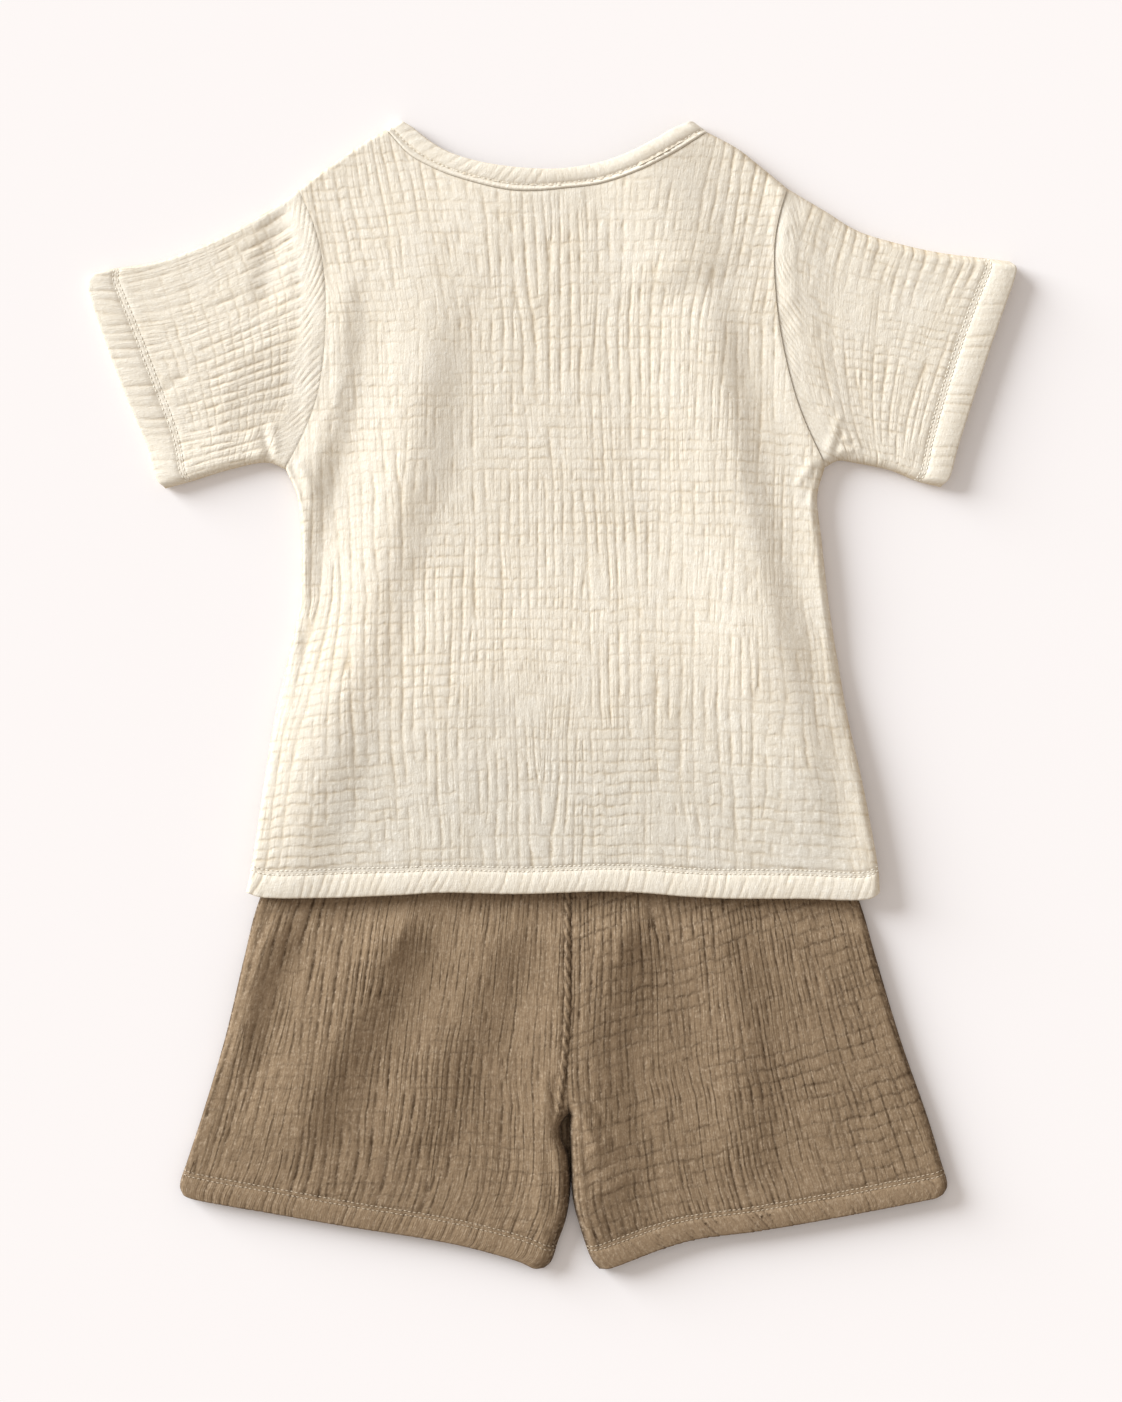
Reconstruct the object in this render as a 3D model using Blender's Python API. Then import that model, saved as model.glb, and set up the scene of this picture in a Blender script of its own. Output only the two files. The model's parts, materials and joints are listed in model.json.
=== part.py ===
# Toddler's crinkle-gauze set laid flat, back up: a short-sleeved top over a pair of shorts
# Metres, +Z up off the floor; +Y runs from the shorts' hems to the neck, +X to the right seen from above
# The origin is on the floor under the middle of the set's outline

import math

import bmesh
import bpy
import numpy as np

MM = 0.001

# Driving sizes, in millimetres
WALL = 1.4              # crinkled double gauze
HEM_WALL = 2.0          # turned hem, two plies pressed
BINDING_WALL = 2.0      # folded neck band
CASING_WALL = 2.1       # waist casing round its elastic
SEAM_GAP = 0.35         # between pieces where they are sewn
SEAM_LEVEL = 2.0        # height of the side seams above the under layer's underside
TOP_LOFT = 5.5          # outer height of the laid top
SHORTS_LOFT = 5.3       # outer height of the laid shorts
TUCKED_LOFT = 4.6       # outer height of the shorts where the top covers them
LIFT = 5.5              # how far the shorts raise the top's under layer
PRESSED_DROP = 0.9      # how much flatter the top lies there
PRESSED_FOLDS = 0.5     # how much of its folds is lost there
LIFT_RUN = 34.0         # length over which the top comes down to the floor again
SLEEVE_DROP = 0.3       # the sleeves lie this much lower than the body at their seams
TOP_HEM_Y = -107.0      # just below the top's hem
SHOWN_RUN = 22.0        # length over which the shorts come up to their own height below it
EDGE_ROUND = 5.0        # how far in from a side seam the upper layer reaches its height
UNDER_ROUND = 2.6       # the same for the under layer
HEM_DEPTH = 14.5
RIB_HEIGHT = 0.65       # crinkle ribs of the gauze
RIBS_TOP = 38
RIBS_SLEEVE = 17
RIBS_CROSS_SLEEVE = 12
RIBS_LEG = 24
GATHERS_WAIST = 20
RIBS_UNDER = 8          # pairs of columns in a plain under layer
TUCKED_RIB_SHARE = 0.25 # how much of the ribs is left where the top covers the shorts
GATHER_HEIGHT = 0.4
HEM_RIB_SHARE = 0.4     # how much of the ribs is left in a pressed hem

CREAM = (0.80, 0.72, 0.56)
TAUPE = (0.22, 0.155, 0.098)

# Places of rows and columns, as distances in from an edge
EDGE_STEPS = [EDGE_ROUND * (1 - math.cos(math.radians(angle))) for angle in (0, 30, 60, 90)]
UNDER_STEPS = [0.0, UNDER_ROUND, 7.0, 13.0]
HEM_ROWS = [0.0, 0.5 * HEM_DEPTH, HEM_DEPTH]
SIDE_ROWS = HEM_ROWS + [30.0, 46.0, 60.0, 70.0, 82.0, 94.0, 124.0, 158.0, 192.0]
ARMHOLE_ROWS = 7
CROTCH_ROW = 66.0
LEG_ROWS = HEM_ROWS + [32.0, 50.0, CROTCH_ROW, 88.0, 112.0, 136.0, 160.0, 182.0]
BINDING_ROWS = [0.0, 0.12, 0.24, 0.5, 0.9, 1.0]         # shares of the binding's depth
BINDING_WELT = [0.0, 0.35, 0.0, 0.1, 0.0, -0.35]        # height added at each of them
CASING_ROWS = [0.0, 0.5, 1.0]
NECK_SHARES = (0.150, 0.800)                            # ends of the neck along the body's width

# Edges of the top, seen from above. Each row: x, y
SIDE_LEFT = [(-159.0, -102.5), (-156.5, -91.0), (-151.8, -60.0), (-144.6, -13.0),
             (-137.8, 18.0), (-131.3, 49.0), (-130.8, 85.0), (-133.0, 104.0), (-138.8, 117.5)]
SIDE_RIGHT = [(170.3, -103.0), (169.5, -91.0), (161.0, -44.0), (154.0, -13.0),
              (148.7, 18.0), (144.0, 49.0), (140.4, 81.0), (138.2, 104.0), (142.0, 118.5)]
ARMHOLE_LEFT = [(-138.8, 117.5), (-128.7, 137.5), (-121.5, 158.0), (-117.7, 190.0),
                (-118.4, 219.0), (-122.8, 241.5), (-132.0, 263.6)]
ARMHOLE_RIGHT = [(142.0, 118.5), (129.0, 147.5), (121.9, 171.8), (116.6, 203.0),
                 (115.4, 233.0), (118.4, 251.0), (122.4, 263.8)]
SHOULDER_LEFT = [(-132.0, 263.6), (-121.2, 272.0), (-109.2, 280.5), (-97.0, 288.8), (-86.6, 294.4)]
SHOULDER_RIGHT = [(81.4, 292.8), (96.5, 284.6), (107.6, 276.0), (122.4, 263.8)]
BACK_NECK = [(-86.6, 294.4), (-74.5, 281.3), (-62.6, 274.4), (-50.6, 269.4), (-23.8, 262.4),
             (-8.8, 261.7), (4.2, 262.8), (25.7, 265.5), (45.6, 272.1), (62.2, 280.4), (81.4, 292.8)]
FRONT_NECK = [(-86.6, 294.4), (-77.0, 270.0), (-55.0, 248.0), (-3.0, 236.0),
              (50.0, 247.0), (72.0, 269.0), (81.4, 292.8)]
TOP_HEM = [(-159.0, -102.5), (-152.0, -105.0), (-120.6, -105.6), (-79.0, -104.0), (-58.0, -102.8),
           (-16.6, -103.5), (25.0, -102.2), (45.8, -102.8), (66.6, -104.6), (90.0, -105.8),
           (129.0, -106.0), (165.0, -106.0), (170.3, -103.0)]

# The neck band's free edge, back and front
BACK_NECK_EDGE = [(-79.0, 299.0), (-73.8, 295.8), (-63.4, 287.8), (-53.0, 281.8), (-32.0, 275.8),
                  (-1.0, 273.0), (20.7, 275.4), (37.3, 280.4), (53.9, 288.7), (62.2, 293.7), (73.8, 298.6)]
FRONT_NECK_EDGE = [(-79.0, 299.0), (-69.0, 278.5), (-49.0, 258.5), (-2.5, 247.0),
                   (45.0, 257.5), (65.0, 278.0), (73.8, 298.6)]

# Edges of the sleeves
SLEEVE_TOP_LEFT = [(-239.5, 219.8), (-229.8, 222.0), (-206.4, 225.8), (-183.0, 234.0),
                   (-157.6, 246.8), (-142.0, 255.8), (-132.0, 263.6)]
SLEEVE_UNDER_LEFT = [(-201.5, 107.5), (-187.0, 111.5), (-170.0, 116.8), (-148.0, 121.0), (-138.8, 117.5)]
CUFF_LEFT = [(-201.5, 107.5), (-205.5, 111.5), (-211.0, 129.5), (-221.5, 154.4),
             (-231.0, 179.0), (-240.0, 205.5), (-241.8, 214.0), (-239.5, 219.8)]
SLEEVE_TOP_RIGHT = [(238.5, 225.8), (225.0, 227.5), (202.3, 230.4), (183.0, 234.5),
                    (159.0, 241.8), (143.5, 251.2), (130.5, 259.0), (122.4, 263.8)]
SLEEVE_UNDER_RIGHT = [(202.5, 108.2), (190.0, 111.4), (176.0, 117.0), (158.0, 120.8),
                      (149.0, 122.0), (142.0, 118.5)]
CUFF_RIGHT = [(202.5, 108.2), (206.5, 112.0), (211.6, 129.5), (219.5, 154.4), (227.8, 179.4),
              (236.6, 204.4), (241.0, 217.5), (241.6, 222.5), (238.5, 225.8)]

# Edges of the shorts
WAIST_LEFT = (-109.0, -36.0)        # upper corners of the waist casing
WAIST_RIGHT = (124.0, -36.0)
YOKE_LEFT = (-114.0, -60.0)         # its lower corners
YOKE_RIGHT = (129.5, -60.0)
CENTRE_SEAM = [(9.2, -220.5), (7.4, -205.0), (7.4, -190.0), (8.6, -165.0), (9.5, -103.0), (8.0, -60.0)]
OUTSEAM_LEFT = [(-192.2, -260.4), (-193.9, -255.5), (-189.8, -241.8), (-183.0, -221.0), (-170.6, -179.4),
                (-160.7, -137.8), (-153.4, -109.2), (-141.0, -82.0), YOKE_LEFT]
OUTSEAM_RIGHT = [(203.8, -260.0), (205.9, -255.5), (202.3, -241.8), (196.0, -221.0), (181.5, -179.4),
                 (169.0, -137.8), (160.7, -109.2), (150.0, -84.0), YOKE_RIGHT]
INSEAM_LEFT = [(-4.2, -298.4), (-0.6, -295.2), (3.1, -284.6), (7.3, -272.6), (9.4, -257.0),
               (8.6, -243.0), (5.0, -234.0), (0.2, -226.5), (1.2, -221.0), (9.2, -220.5)]
INSEAM_RIGHT = [(24.6, -298.8), (21.0, -294.6), (14.6, -277.0), (10.9, -262.6), (9.8, -243.0), (9.2, -220.5)]
LEG_HEM_LEFT = [(-192.2, -260.4), (-187.0, -262.3), (-146.6, -269.6), (-105.0, -276.8), (-63.4, -283.3),
                (-42.6, -287.6), (-16.6, -295.0), (-9.0, -298.4), (-4.2, -298.4)]
LEG_HEM_RIGHT = [(24.6, -298.8), (30.0, -298.3), (56.2, -288.6), (74.0, -283.4), (108.2, -278.8),
                 (149.8, -271.6), (191.4, -263.5), (199.0, -261.9), (203.8, -260.0)]

# Outline within which the top lies level on the shorts. Each row: x, y
LIFT_RIM = [(-162.0, -112.0), (-150.0, -84.0), (-117.0, -28.0),
            (132.0, -28.0), (158.0, -84.0), (169.0, -112.0)]

# Largest folds. Each row: x and y of one end, x and y of the other, half width, height
TOP_FOLDS = [(-92.0, 215.0, -122.0, -40.0, 17.0, 1.0),
             (-112.0, 225.0, -122.0, 90.0, 9.0, 0.8),
             (-60.0, 190.0, -104.0, -60.0, 15.0, -0.8),
             (86.0, 205.0, 122.0, 10.0, 16.0, 1.0),
             (112.0, 190.0, 138.0, 20.0, 10.0, -0.8),
             (0.0, 200.0, 20.0, 30.0, 40.0, 0.4),
             (20.0, -95.0, 60.0, -20.0, 30.0, -0.4),
             (-170.0, 200.0, -145.0, 240.0, 16.0, -0.7),
             (132.0, 160.0, 128.0, 235.0, 11.0, -0.8)]
SHORTS_FOLDS = [(-140.0, -112.0, -172.0, -215.0, 9.0, -0.7),
                (-112.0, -112.0, -150.0, -210.0, 17.0, 0.9),
                (-60.0, -104.0, -118.0, -222.0, 11.0, -1.0),
                (-66.0, -140.0, -92.0, -250.0, 17.0, 0.9),
                (-40.0, -120.0, -44.0, -235.0, 9.0, -0.5),
                (-20.0, -190.0, -26.0, -285.0, 14.0, 0.7),
                (46.0, -104.0, 32.0, -265.0, 13.0, -1.0),
                (70.0, -130.0, 62.0, -260.0, 18.0, 0.5),
                (108.0, -108.0, 112.0, -210.0, 11.0, -0.8),
                (140.0, -120.0, 158.0, -240.0, 18.0, 0.6)]
FOLD_LIMITS = (-0.9, 1.15)


# Curves and grids

def dense_curve(points):
    """A smooth curve through the points, as a fine polyline."""
    p = np.array(points, float)
    ends = [2 * p[0] - p[1], 2 * p[-1] - p[-2]]
    p = np.vstack([ends[0], p, ends[1]])
    out = []
    for a, b, c, d in zip(p[:-3], p[1:-2], p[2:-1], p[3:]):
        t0 = 0.0
        t1 = t0 + math.sqrt(np.linalg.norm(b - a))
        t2 = t1 + math.sqrt(np.linalg.norm(c - b))
        t3 = t2 + math.sqrt(np.linalg.norm(d - c))
        for t in np.linspace(t1, t2, 12, endpoint=False):
            ab = (t1 - t) / (t1 - t0) * a + (t - t0) / (t1 - t0) * b
            bc = (t2 - t) / (t2 - t1) * b + (t - t1) / (t2 - t1) * c
            cd = (t3 - t) / (t3 - t2) * c + (t - t2) / (t3 - t2) * d
            abc = (t2 - t) / (t2 - t0) * ab + (t - t0) / (t2 - t0) * bc
            bcd = (t3 - t) / (t3 - t1) * bc + (t - t1) / (t3 - t1) * cd
            out.append((t2 - t) / (t2 - t1) * abc + (t - t1) / (t2 - t1) * bcd)
    out.append(p[-2])
    return np.array(out)


def lengths(curve):
    return np.concatenate([[0.0], np.cumsum(np.linalg.norm(np.diff(curve, axis=0), axis=1))])


def at_distances(curve, distances):
    s = lengths(curve)
    d = np.clip(distances, 0.0, s[-1])
    return np.stack([np.interp(d, s, curve[:, 0]), np.interp(d, s, curve[:, 1])], axis=1)


def at_shares(curve, shares):
    return at_distances(curve, np.array(shares) * lengths(curve)[-1])


def shares_of(points):
    s = lengths(points)
    return s / s[-1]


def unit(vectors):
    return vectors / np.linalg.norm(vectors, axis=-1, keepdims=True)


def shifted(curve, distance):
    """The curve moved to its left, seen along its own direction."""
    step = unit(np.diff(curve, axis=0))
    along = unit(np.vstack([step[:1], step[:-1] + step[1:], step[-1:]]))
    return curve + distance * np.stack([-along[:, 1], along[:, 0]], axis=1)


def patch(bottom, top, left, right):
    """Grid of points between four edges, rows from bottom to top and columns from left to right."""
    u = shares_of(bottom)[None, :, None]
    v = shares_of(left)[:, None, None]
    corners = ((1 - u) * (1 - v) * bottom[0] + u * (1 - v) * bottom[-1]
               + (1 - u) * v * top[0] + u * v * top[-1])
    return ((1 - v) * bottom[None] + v * top[None]
            + (1 - u) * left[:, None] + u * right[:, None] - corners)


# Heights

def smoothstep(t):
    t = np.clip(t, 0.0, 1.0)
    return t * t * (3 - 2 * t)


def segment_distance(points, a, b):
    """Distance of each point from a straight piece, and its share along it."""
    a, b = np.array(a, float), np.array(b, float)
    share = np.clip((points - a) @ (b - a) / ((b - a) @ (b - a)), 0.0, 1.0)
    return np.linalg.norm(a + share[..., None] * (b - a) - points, axis=-1), share


def fold_relief(points, folds):
    total = np.zeros(points.shape[:-1])
    for x0, y0, x1, y1, half_width, height in folds:
        distance, share = segment_distance(points, (x0, y0), (x1, y1))
        taper = smoothstep(share * 4) * smoothstep((1 - share) * 4)
        total += height * taper * (1 - smoothstep(distance / (2 * half_width)))
    return np.clip(total, *FOLD_LIMITS)


def floor_level(points):
    return np.zeros(points.shape[:-1])


def lift(points):
    """Height that the shorts give the top's underside: level over them, down to the floor beyond."""
    nearest = np.full(points.shape[:-1], 1e9)
    inside = np.ones(points.shape[:-1], bool)
    for a, b in zip(LIFT_RIM[:-1], LIFT_RIM[1:]):
        distance, _ = segment_distance(points, a, b)
        nearest = np.minimum(nearest, distance)
        side = (b[0] - a[0]) * (points[..., 1] - a[1]) - (b[1] - a[1]) * (points[..., 0] - a[0])
        inside &= side < 0
    nearest = np.where(inside | (points[..., 1] < LIFT_RIM[0][1]), 0.0, nearest)
    return LIFT * (1 - smoothstep(nearest / LIFT_RUN))


def top_height(points):
    pressed = lift(points) / LIFT
    return TOP_LOFT - PRESSED_DROP * pressed + fold_relief(points, TOP_FOLDS) * (1 - PRESSED_FOLDS * pressed)


def shown(points):
    """0 where the top covers the shorts, rising to 1 below its hem."""
    return smoothstep((TOP_HEM_Y - points[..., 1]) / SHOWN_RUN)


def shorts_height(points):
    return TUCKED_LOFT + (SHORTS_LOFT - TUCKED_LOFT + fold_relief(points, SHORTS_FOLDS)) * shown(points)


def edge_turn(grid, closed, reach):
    """How far a layer has turned at its closed edges: cosine, sine, and the way out along the grid."""
    ways = {"left": grid[:, :1] - grid[:, 1:2], "right": grid[:, -1:] - grid[:, -2:-1],
            "top": grid[-1:] - grid[-2:-1]}
    nearest = np.full(grid.shape[:-1], 1e9)
    out = np.zeros(grid.shape)
    for side, edge in closed:
        way = np.broadcast_to(unit(ways[side]), grid.shape)
        curve = dense_curve(edge)
        for a, b in zip(curve[:-1], curve[1:]):
            distance, _ = segment_distance(grid, a, b)
            nearer = distance < nearest
            out = np.where(nearer[..., None], way, out)
            nearest = np.where(nearer, distance, nearest)
    cosine = np.clip(1 - nearest / reach, 0.0, 1.0)
    return cosine, np.sqrt(1 - cosine ** 2), out


def upper_layer(grid, closed, height, base, wall, relief):
    """Outer and inner points of a layer that faces up and turns down at its closed edges."""
    cosine, sine, out = edge_turn(grid, closed, EDGE_ROUND)
    z = SEAM_LEVEL + SEAM_GAP / 2 + (height - SEAM_LEVEL - SEAM_GAP / 2) * sine
    inside = grid - out * (wall * cosine)[..., None]
    outer = np.dstack([grid, base(grid) + z + relief * sine])
    inner = np.dstack([inside, base(inside) + z - wall * sine])
    return outer, inner


def under_layer(grid, closed, base, wall):
    """Outer and inner points of a layer that lies on the floor and turns up at its closed edges."""
    cosine, sine, out = edge_turn(grid, closed, UNDER_ROUND)
    rim = SEAM_LEVEL - SEAM_GAP / 2
    z = rim * (1 - sine)
    inside = grid - out * (wall * cosine)[..., None]
    outer = np.dstack([grid, base(grid) + z])
    inner = np.dstack([inside, base(inside) + np.minimum(z + wall * sine, rim)])
    return outer, inner


# Solids

def new_object(name, colour, roughness):
    mesh = bpy.data.meshes.new(name)
    thing = bpy.data.objects.new(name, mesh)
    bpy.context.scene.collection.objects.link(thing)
    material = bpy.data.materials.new(name)
    material.use_nodes = True
    shader = material.node_tree.nodes["Principled BSDF"]
    shader.inputs["Base Color"].default_value = (*colour, 1.0)
    shader.inputs["Roughness"].default_value = roughness
    shader.inputs["Metallic"].default_value = 0.0
    mesh.materials.append(material)
    return thing


def finish_object(thing, bm):
    bmesh.ops.recalc_face_normals(bm, faces=bm.faces)
    bmesh.ops.triangulate(bm, faces=bm.faces)
    bm.to_mesh(thing.data)
    bm.free()
    thing.data.shade_smooth()
    thing.data.set_sharp_from_angle(angle=math.radians(50))


def add_vertices(bm, points):
    return [[bm.verts.new((p * MM).tolist()) for p in row] for row in points]


def add_strip(bm, first, second, close=False):
    """Quads between two rows of vertices of the same count."""
    count = len(first)
    for i in range(count if close else count - 1):
        j = (i + 1) % count
        bm.faces.new((first[i], first[j], second[j], second[i]))


def add_uneven_strip(bm, fine, coarse, kept):
    """Triangles between a row of vertices and a sparser one, whose vertices stand at the kept places."""
    for k, (a, b) in enumerate(zip(kept[:-1], kept[1:])):
        middle = (a + b) // 2
        for i in range(a, middle):
            bm.faces.new((fine[i], fine[i + 1], coarse[k]))
        bm.faces.new((fine[middle], coarse[k + 1], coarse[k]))
        for i in range(middle, b):
            bm.faces.new((fine[i], fine[i + 1], coarse[k + 1]))


def panel(name, colour, layer, kept_columns):
    """A sheet of cloth as a solid: fine outer points over a plain inside with only the kept columns."""
    thing = new_object(name, colour, 0.9)
    bm = bmesh.new()
    fine = add_vertices(bm, layer[0])
    plain = add_vertices(bm, layer[1][:, kept_columns])
    for rows in (fine, plain):
        for a, b in zip(rows[:-1], rows[1:]):
            add_strip(bm, a, b)
    for end in (0, -1):
        add_uneven_strip(bm, fine[end], plain[end], kept_columns)
        add_strip(bm, [row[end] for row in fine], [row[end] for row in plain])
    finish_object(thing, bm)


def tube(name, colour, upper, under, kept_rows, kept_columns):
    """A flattened ring of cloth as a solid: a fine upper layer and a plain under one, joined at the sides."""
    thing = new_object(name, colour, 0.9)
    bm = bmesh.new()
    outside = add_vertices(bm, np.concatenate([upper[0], under[0][:, -2:0:-1]], axis=1))
    plain = np.concatenate([upper[1][:, kept_columns], under[1][:, -2:0:-1]], axis=1)
    inside = add_vertices(bm, plain[kept_rows])
    for rows in (outside, inside):
        for a, b in zip(rows[:-1], rows[1:]):
            add_strip(bm, a, b, close=True)
    fine_count = upper[0].shape[1]
    places = kept_columns + list(range(fine_count, len(outside[0]) + 1))
    for end in (0, -1):
        add_uneven_strip(bm, outside[end] + outside[end][:1], inside[end] + inside[end][:1], places)
    finish_object(thing, bm)


# Rows and columns

def rib_heights(count, height):
    """Heights that rise and fall from one line of points to the next, a little uneven from rib to rib."""
    i = np.arange(count)
    return height * (i % 2) * (0.8 + 0.2 * np.sin(i * 1.7) * np.cos(i * 0.61))


def across_distances(width, ribs, steps):
    """Distances across a panel: close at both closed edges, two to a rib between."""
    middle = np.linspace(steps[-1], width - steps[-1], 2 * ribs + 1)
    return np.concatenate([steps[:-1], middle, width - np.array(steps[:-1])[::-1]])


def kept_of(count, edge, step):
    """Lines that the plain inside keeps: all near the ends, one in a few between."""
    middle = list(range(edge, count - edge - 1, step))
    return list(range(edge)) + middle + list(range(count - edge - 1, count))


def hem_walls(rows):
    wall = np.full((rows, 1), WALL)
    wall[:len(HEM_ROWS)] = HEM_WALL
    return wall


def hem_fade(rows):
    fade = np.ones((rows, 1))
    fade[:len(HEM_ROWS)] = HEM_RIB_SHARE
    return fade


# The top

def armhole_points(hole):
    """Ends of the rows along an armhole, close together where the shoulder turns down."""
    curve = dense_curve(hole)
    length = lengths(curve)[-1]
    return at_distances(curve, [*np.linspace(0.0, length - EDGE_ROUND, ARMHOLE_ROWS),
                                length - 0.3 * EDGE_ROUND, length])


def body_grid(neck, ribs, steps):
    """Grid of a body panel, and the part of its last row that lies along the neck."""
    hem = dense_curve(TOP_HEM)
    width = lengths(hem)[-1]
    across = across_distances(width, ribs, steps)
    start, end = (int(np.argmin(abs(across - share * width))) for share in NECK_SHARES)
    neck_columns = across[start:end + 1] - across[start]
    neck_line = at_shares(dense_curve(neck), neck_columns / neck_columns[-1])
    top = np.vstack([
        at_shares(dense_curve(SHOULDER_LEFT), across[:start] / across[start]),
        neck_line,
        at_shares(dense_curve(SHOULDER_RIGHT), (across[end + 1:] - across[end]) / (width - across[end])),
    ])
    sides = []
    for seam, hole in ((SIDE_LEFT, ARMHOLE_LEFT), (SIDE_RIGHT, ARMHOLE_RIGHT)):
        sides.append(np.vstack([at_distances(dense_curve(seam), SIDE_ROWS), armhole_points(hole)]))
    return patch(at_shares(hem, across / width), top, *sides), neck_line


def build_body():
    """Both body panels; returns the lines along which the neck band is sewn to them."""
    closed = [("left", SIDE_LEFT), ("top", SHOULDER_LEFT), ("right", SIDE_RIGHT), ("top", SHOULDER_RIGHT)]
    grid, back_neck = body_grid(BACK_NECK, RIBS_TOP, EDGE_STEPS)
    rows, columns = grid.shape[:2]
    relief = rib_heights(columns, RIB_HEIGHT) * hem_fade(rows)
    relief[-1] = 0.0
    layer = upper_layer(grid, closed, top_height(grid), lift, hem_walls(rows), relief)
    panel("top_back", CREAM, layer, kept_of(columns, 4, 3))
    grid, front_neck = body_grid(FRONT_NECK, RIBS_UNDER, UNDER_STEPS)
    layer = under_layer(grid, closed, lift, hem_walls(rows))
    panel("top_front", CREAM, layer, list(range(grid.shape[1])))
    return back_neck, front_neck


def build_sleeve(name, cuff, hole, under_edge, top_edge, turn, lengthwise):
    """A sleeve as one flattened tube, from its cuff to the armhole; turn is 1 at the body's left, else -1."""
    cuff_curve = dense_curve(cuff)
    seam = shifted(armhole_points(hole), turn * SEAM_GAP)
    low, high = dense_curve(under_edge), dense_curve(top_edge)
    low[-1], high[-1] = seam[0], seam[-1]
    width, length = lengths(cuff_curve)[-1], lengths(high)[-1]
    ribs_along, ribs_across = (RIBS_SLEEVE, 4) if lengthwise else (3, RIBS_CROSS_SLEEVE)
    across = across_distances(width, ribs_along, EDGE_STEPS) / width
    stations = np.array([*HEM_ROWS[:-1], *np.linspace(HEM_DEPTH, length, 2 * ribs_across + 1)]) / length
    grid = patch(at_shares(cuff_curve, across), at_shares(seam, across), at_shares(low, stations),
                 at_shares(high, stations))
    rows, columns = grid.shape[:2]
    if lengthwise:
        relief = rib_heights(columns, RIB_HEIGHT) * hem_fade(rows)
        kept_rows, kept_columns = list(range(rows)), kept_of(columns, 3, 5)
    else:
        relief = np.repeat(rib_heights(rows + 1, RIB_HEIGHT)[1:, None], columns, axis=1) * hem_fade(rows)
        kept_rows, kept_columns = kept_of(rows, 3, 4), list(range(columns))
    relief[-1] = 0.0
    closed = [("left", under_edge), ("right", top_edge)]
    wall = hem_walls(rows)
    upper = upper_layer(grid, closed, top_height(grid) - SLEEVE_DROP, floor_level, wall, relief)
    under = under_layer(grid[:, kept_columns], closed, floor_level, wall)
    tube(name, CREAM, upper, under, kept_rows, kept_columns)


def build_neck_band(back_neck, front_neck):
    """The folded band round the neck: a back strip and a front strip that meet at the shoulders."""
    share = np.array(BINDING_ROWS)[:, None, None]
    strips = []
    for seam, edge in ((back_neck, BACK_NECK_EDGE), (front_neck, FRONT_NECK_EDGE)):
        first = shifted(seam, SEAM_GAP)
        last = at_shares(dense_curve(edge), shares_of(seam))
        strips.append((1 - share) * first + share * last)
    back, front = strips
    for end in (0, -1):
        middle = (back[:, end] + front[:, end]) / 2
        back[:, end] = middle
        front[:, end] = middle
    closed = [("left", back[:, 0]), ("right", back[:, -1])]
    wall = np.full((len(BINDING_ROWS), 1), BINDING_WALL)
    welt = np.array(BINDING_WELT)[:, None]
    upper = upper_layer(back, closed, top_height(back), floor_level, wall, welt)
    under = under_layer(front, closed, floor_level, wall)
    tube("neck_band", CREAM, upper, under, list(range(len(BINDING_ROWS))), kept_of(back.shape[1], 3, 3))


# The shorts

def leg_grid(inseam, outseam, hem, side, ribs, steps):
    """Grid of one leg panel; side is +1 where the inseam is at the panel's right."""
    outer_edge = dense_curve(outseam)
    rows = np.array([*LEG_ROWS, lengths(outer_edge)[-1]])
    crotch = LEG_ROWS.index(CROTCH_ROW)
    outer_rows = at_distances(outer_edge, rows)
    inner_rows = np.vstack([
        at_shares(dense_curve(inseam), rows[:crotch + 1] / rows[crotch]),
        at_shares(dense_curve(CENTRE_SEAM), (rows[crotch + 1:] - rows[crotch]) / (rows[-1] - rows[crotch])),
    ])
    inner_rows[crotch:, 0] -= side * SEAM_GAP / 2
    left, right = (outer_rows, inner_rows) if side > 0 else (inner_rows, outer_rows)
    hem_curve = dense_curve(hem)
    width = lengths(hem_curve)[-1]
    across = across_distances(width, ribs, steps)
    share = (across / width)[:, None]
    yoke = (1 - share) * left[-1] + share * right[-1]
    return patch(at_shares(hem_curve, across / width), yoke, left, right)


def build_leg(name, inseam, outseam, hem, side):
    """Back and front panel of one leg."""
    sides = ("left", "right") if side > 0 else ("right", "left")
    closed = [(sides[0], outseam), (sides[1], inseam)]
    grid = leg_grid(inseam, outseam, hem, side, RIBS_LEG, EDGE_STEPS)
    rows, columns = grid.shape[:2]
    free = TUCKED_RIB_SHARE + (1 - TUCKED_RIB_SHARE) * shown(grid)
    relief = rib_heights(columns, RIB_HEIGHT) * hem_fade(rows) * free
    layer = upper_layer(grid, closed, shorts_height(grid), floor_level, hem_walls(rows), relief)
    panel(f"shorts_back_{name}", TAUPE, layer, kept_of(columns, 4, 5))
    grid = leg_grid(inseam, outseam, hem, side, RIBS_UNDER // 2, UNDER_STEPS)
    layer = under_layer(grid, closed, floor_level, hem_walls(rows))
    panel(f"shorts_front_{name}", TAUPE, layer, kept_of(grid.shape[1], 3, 2))


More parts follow.
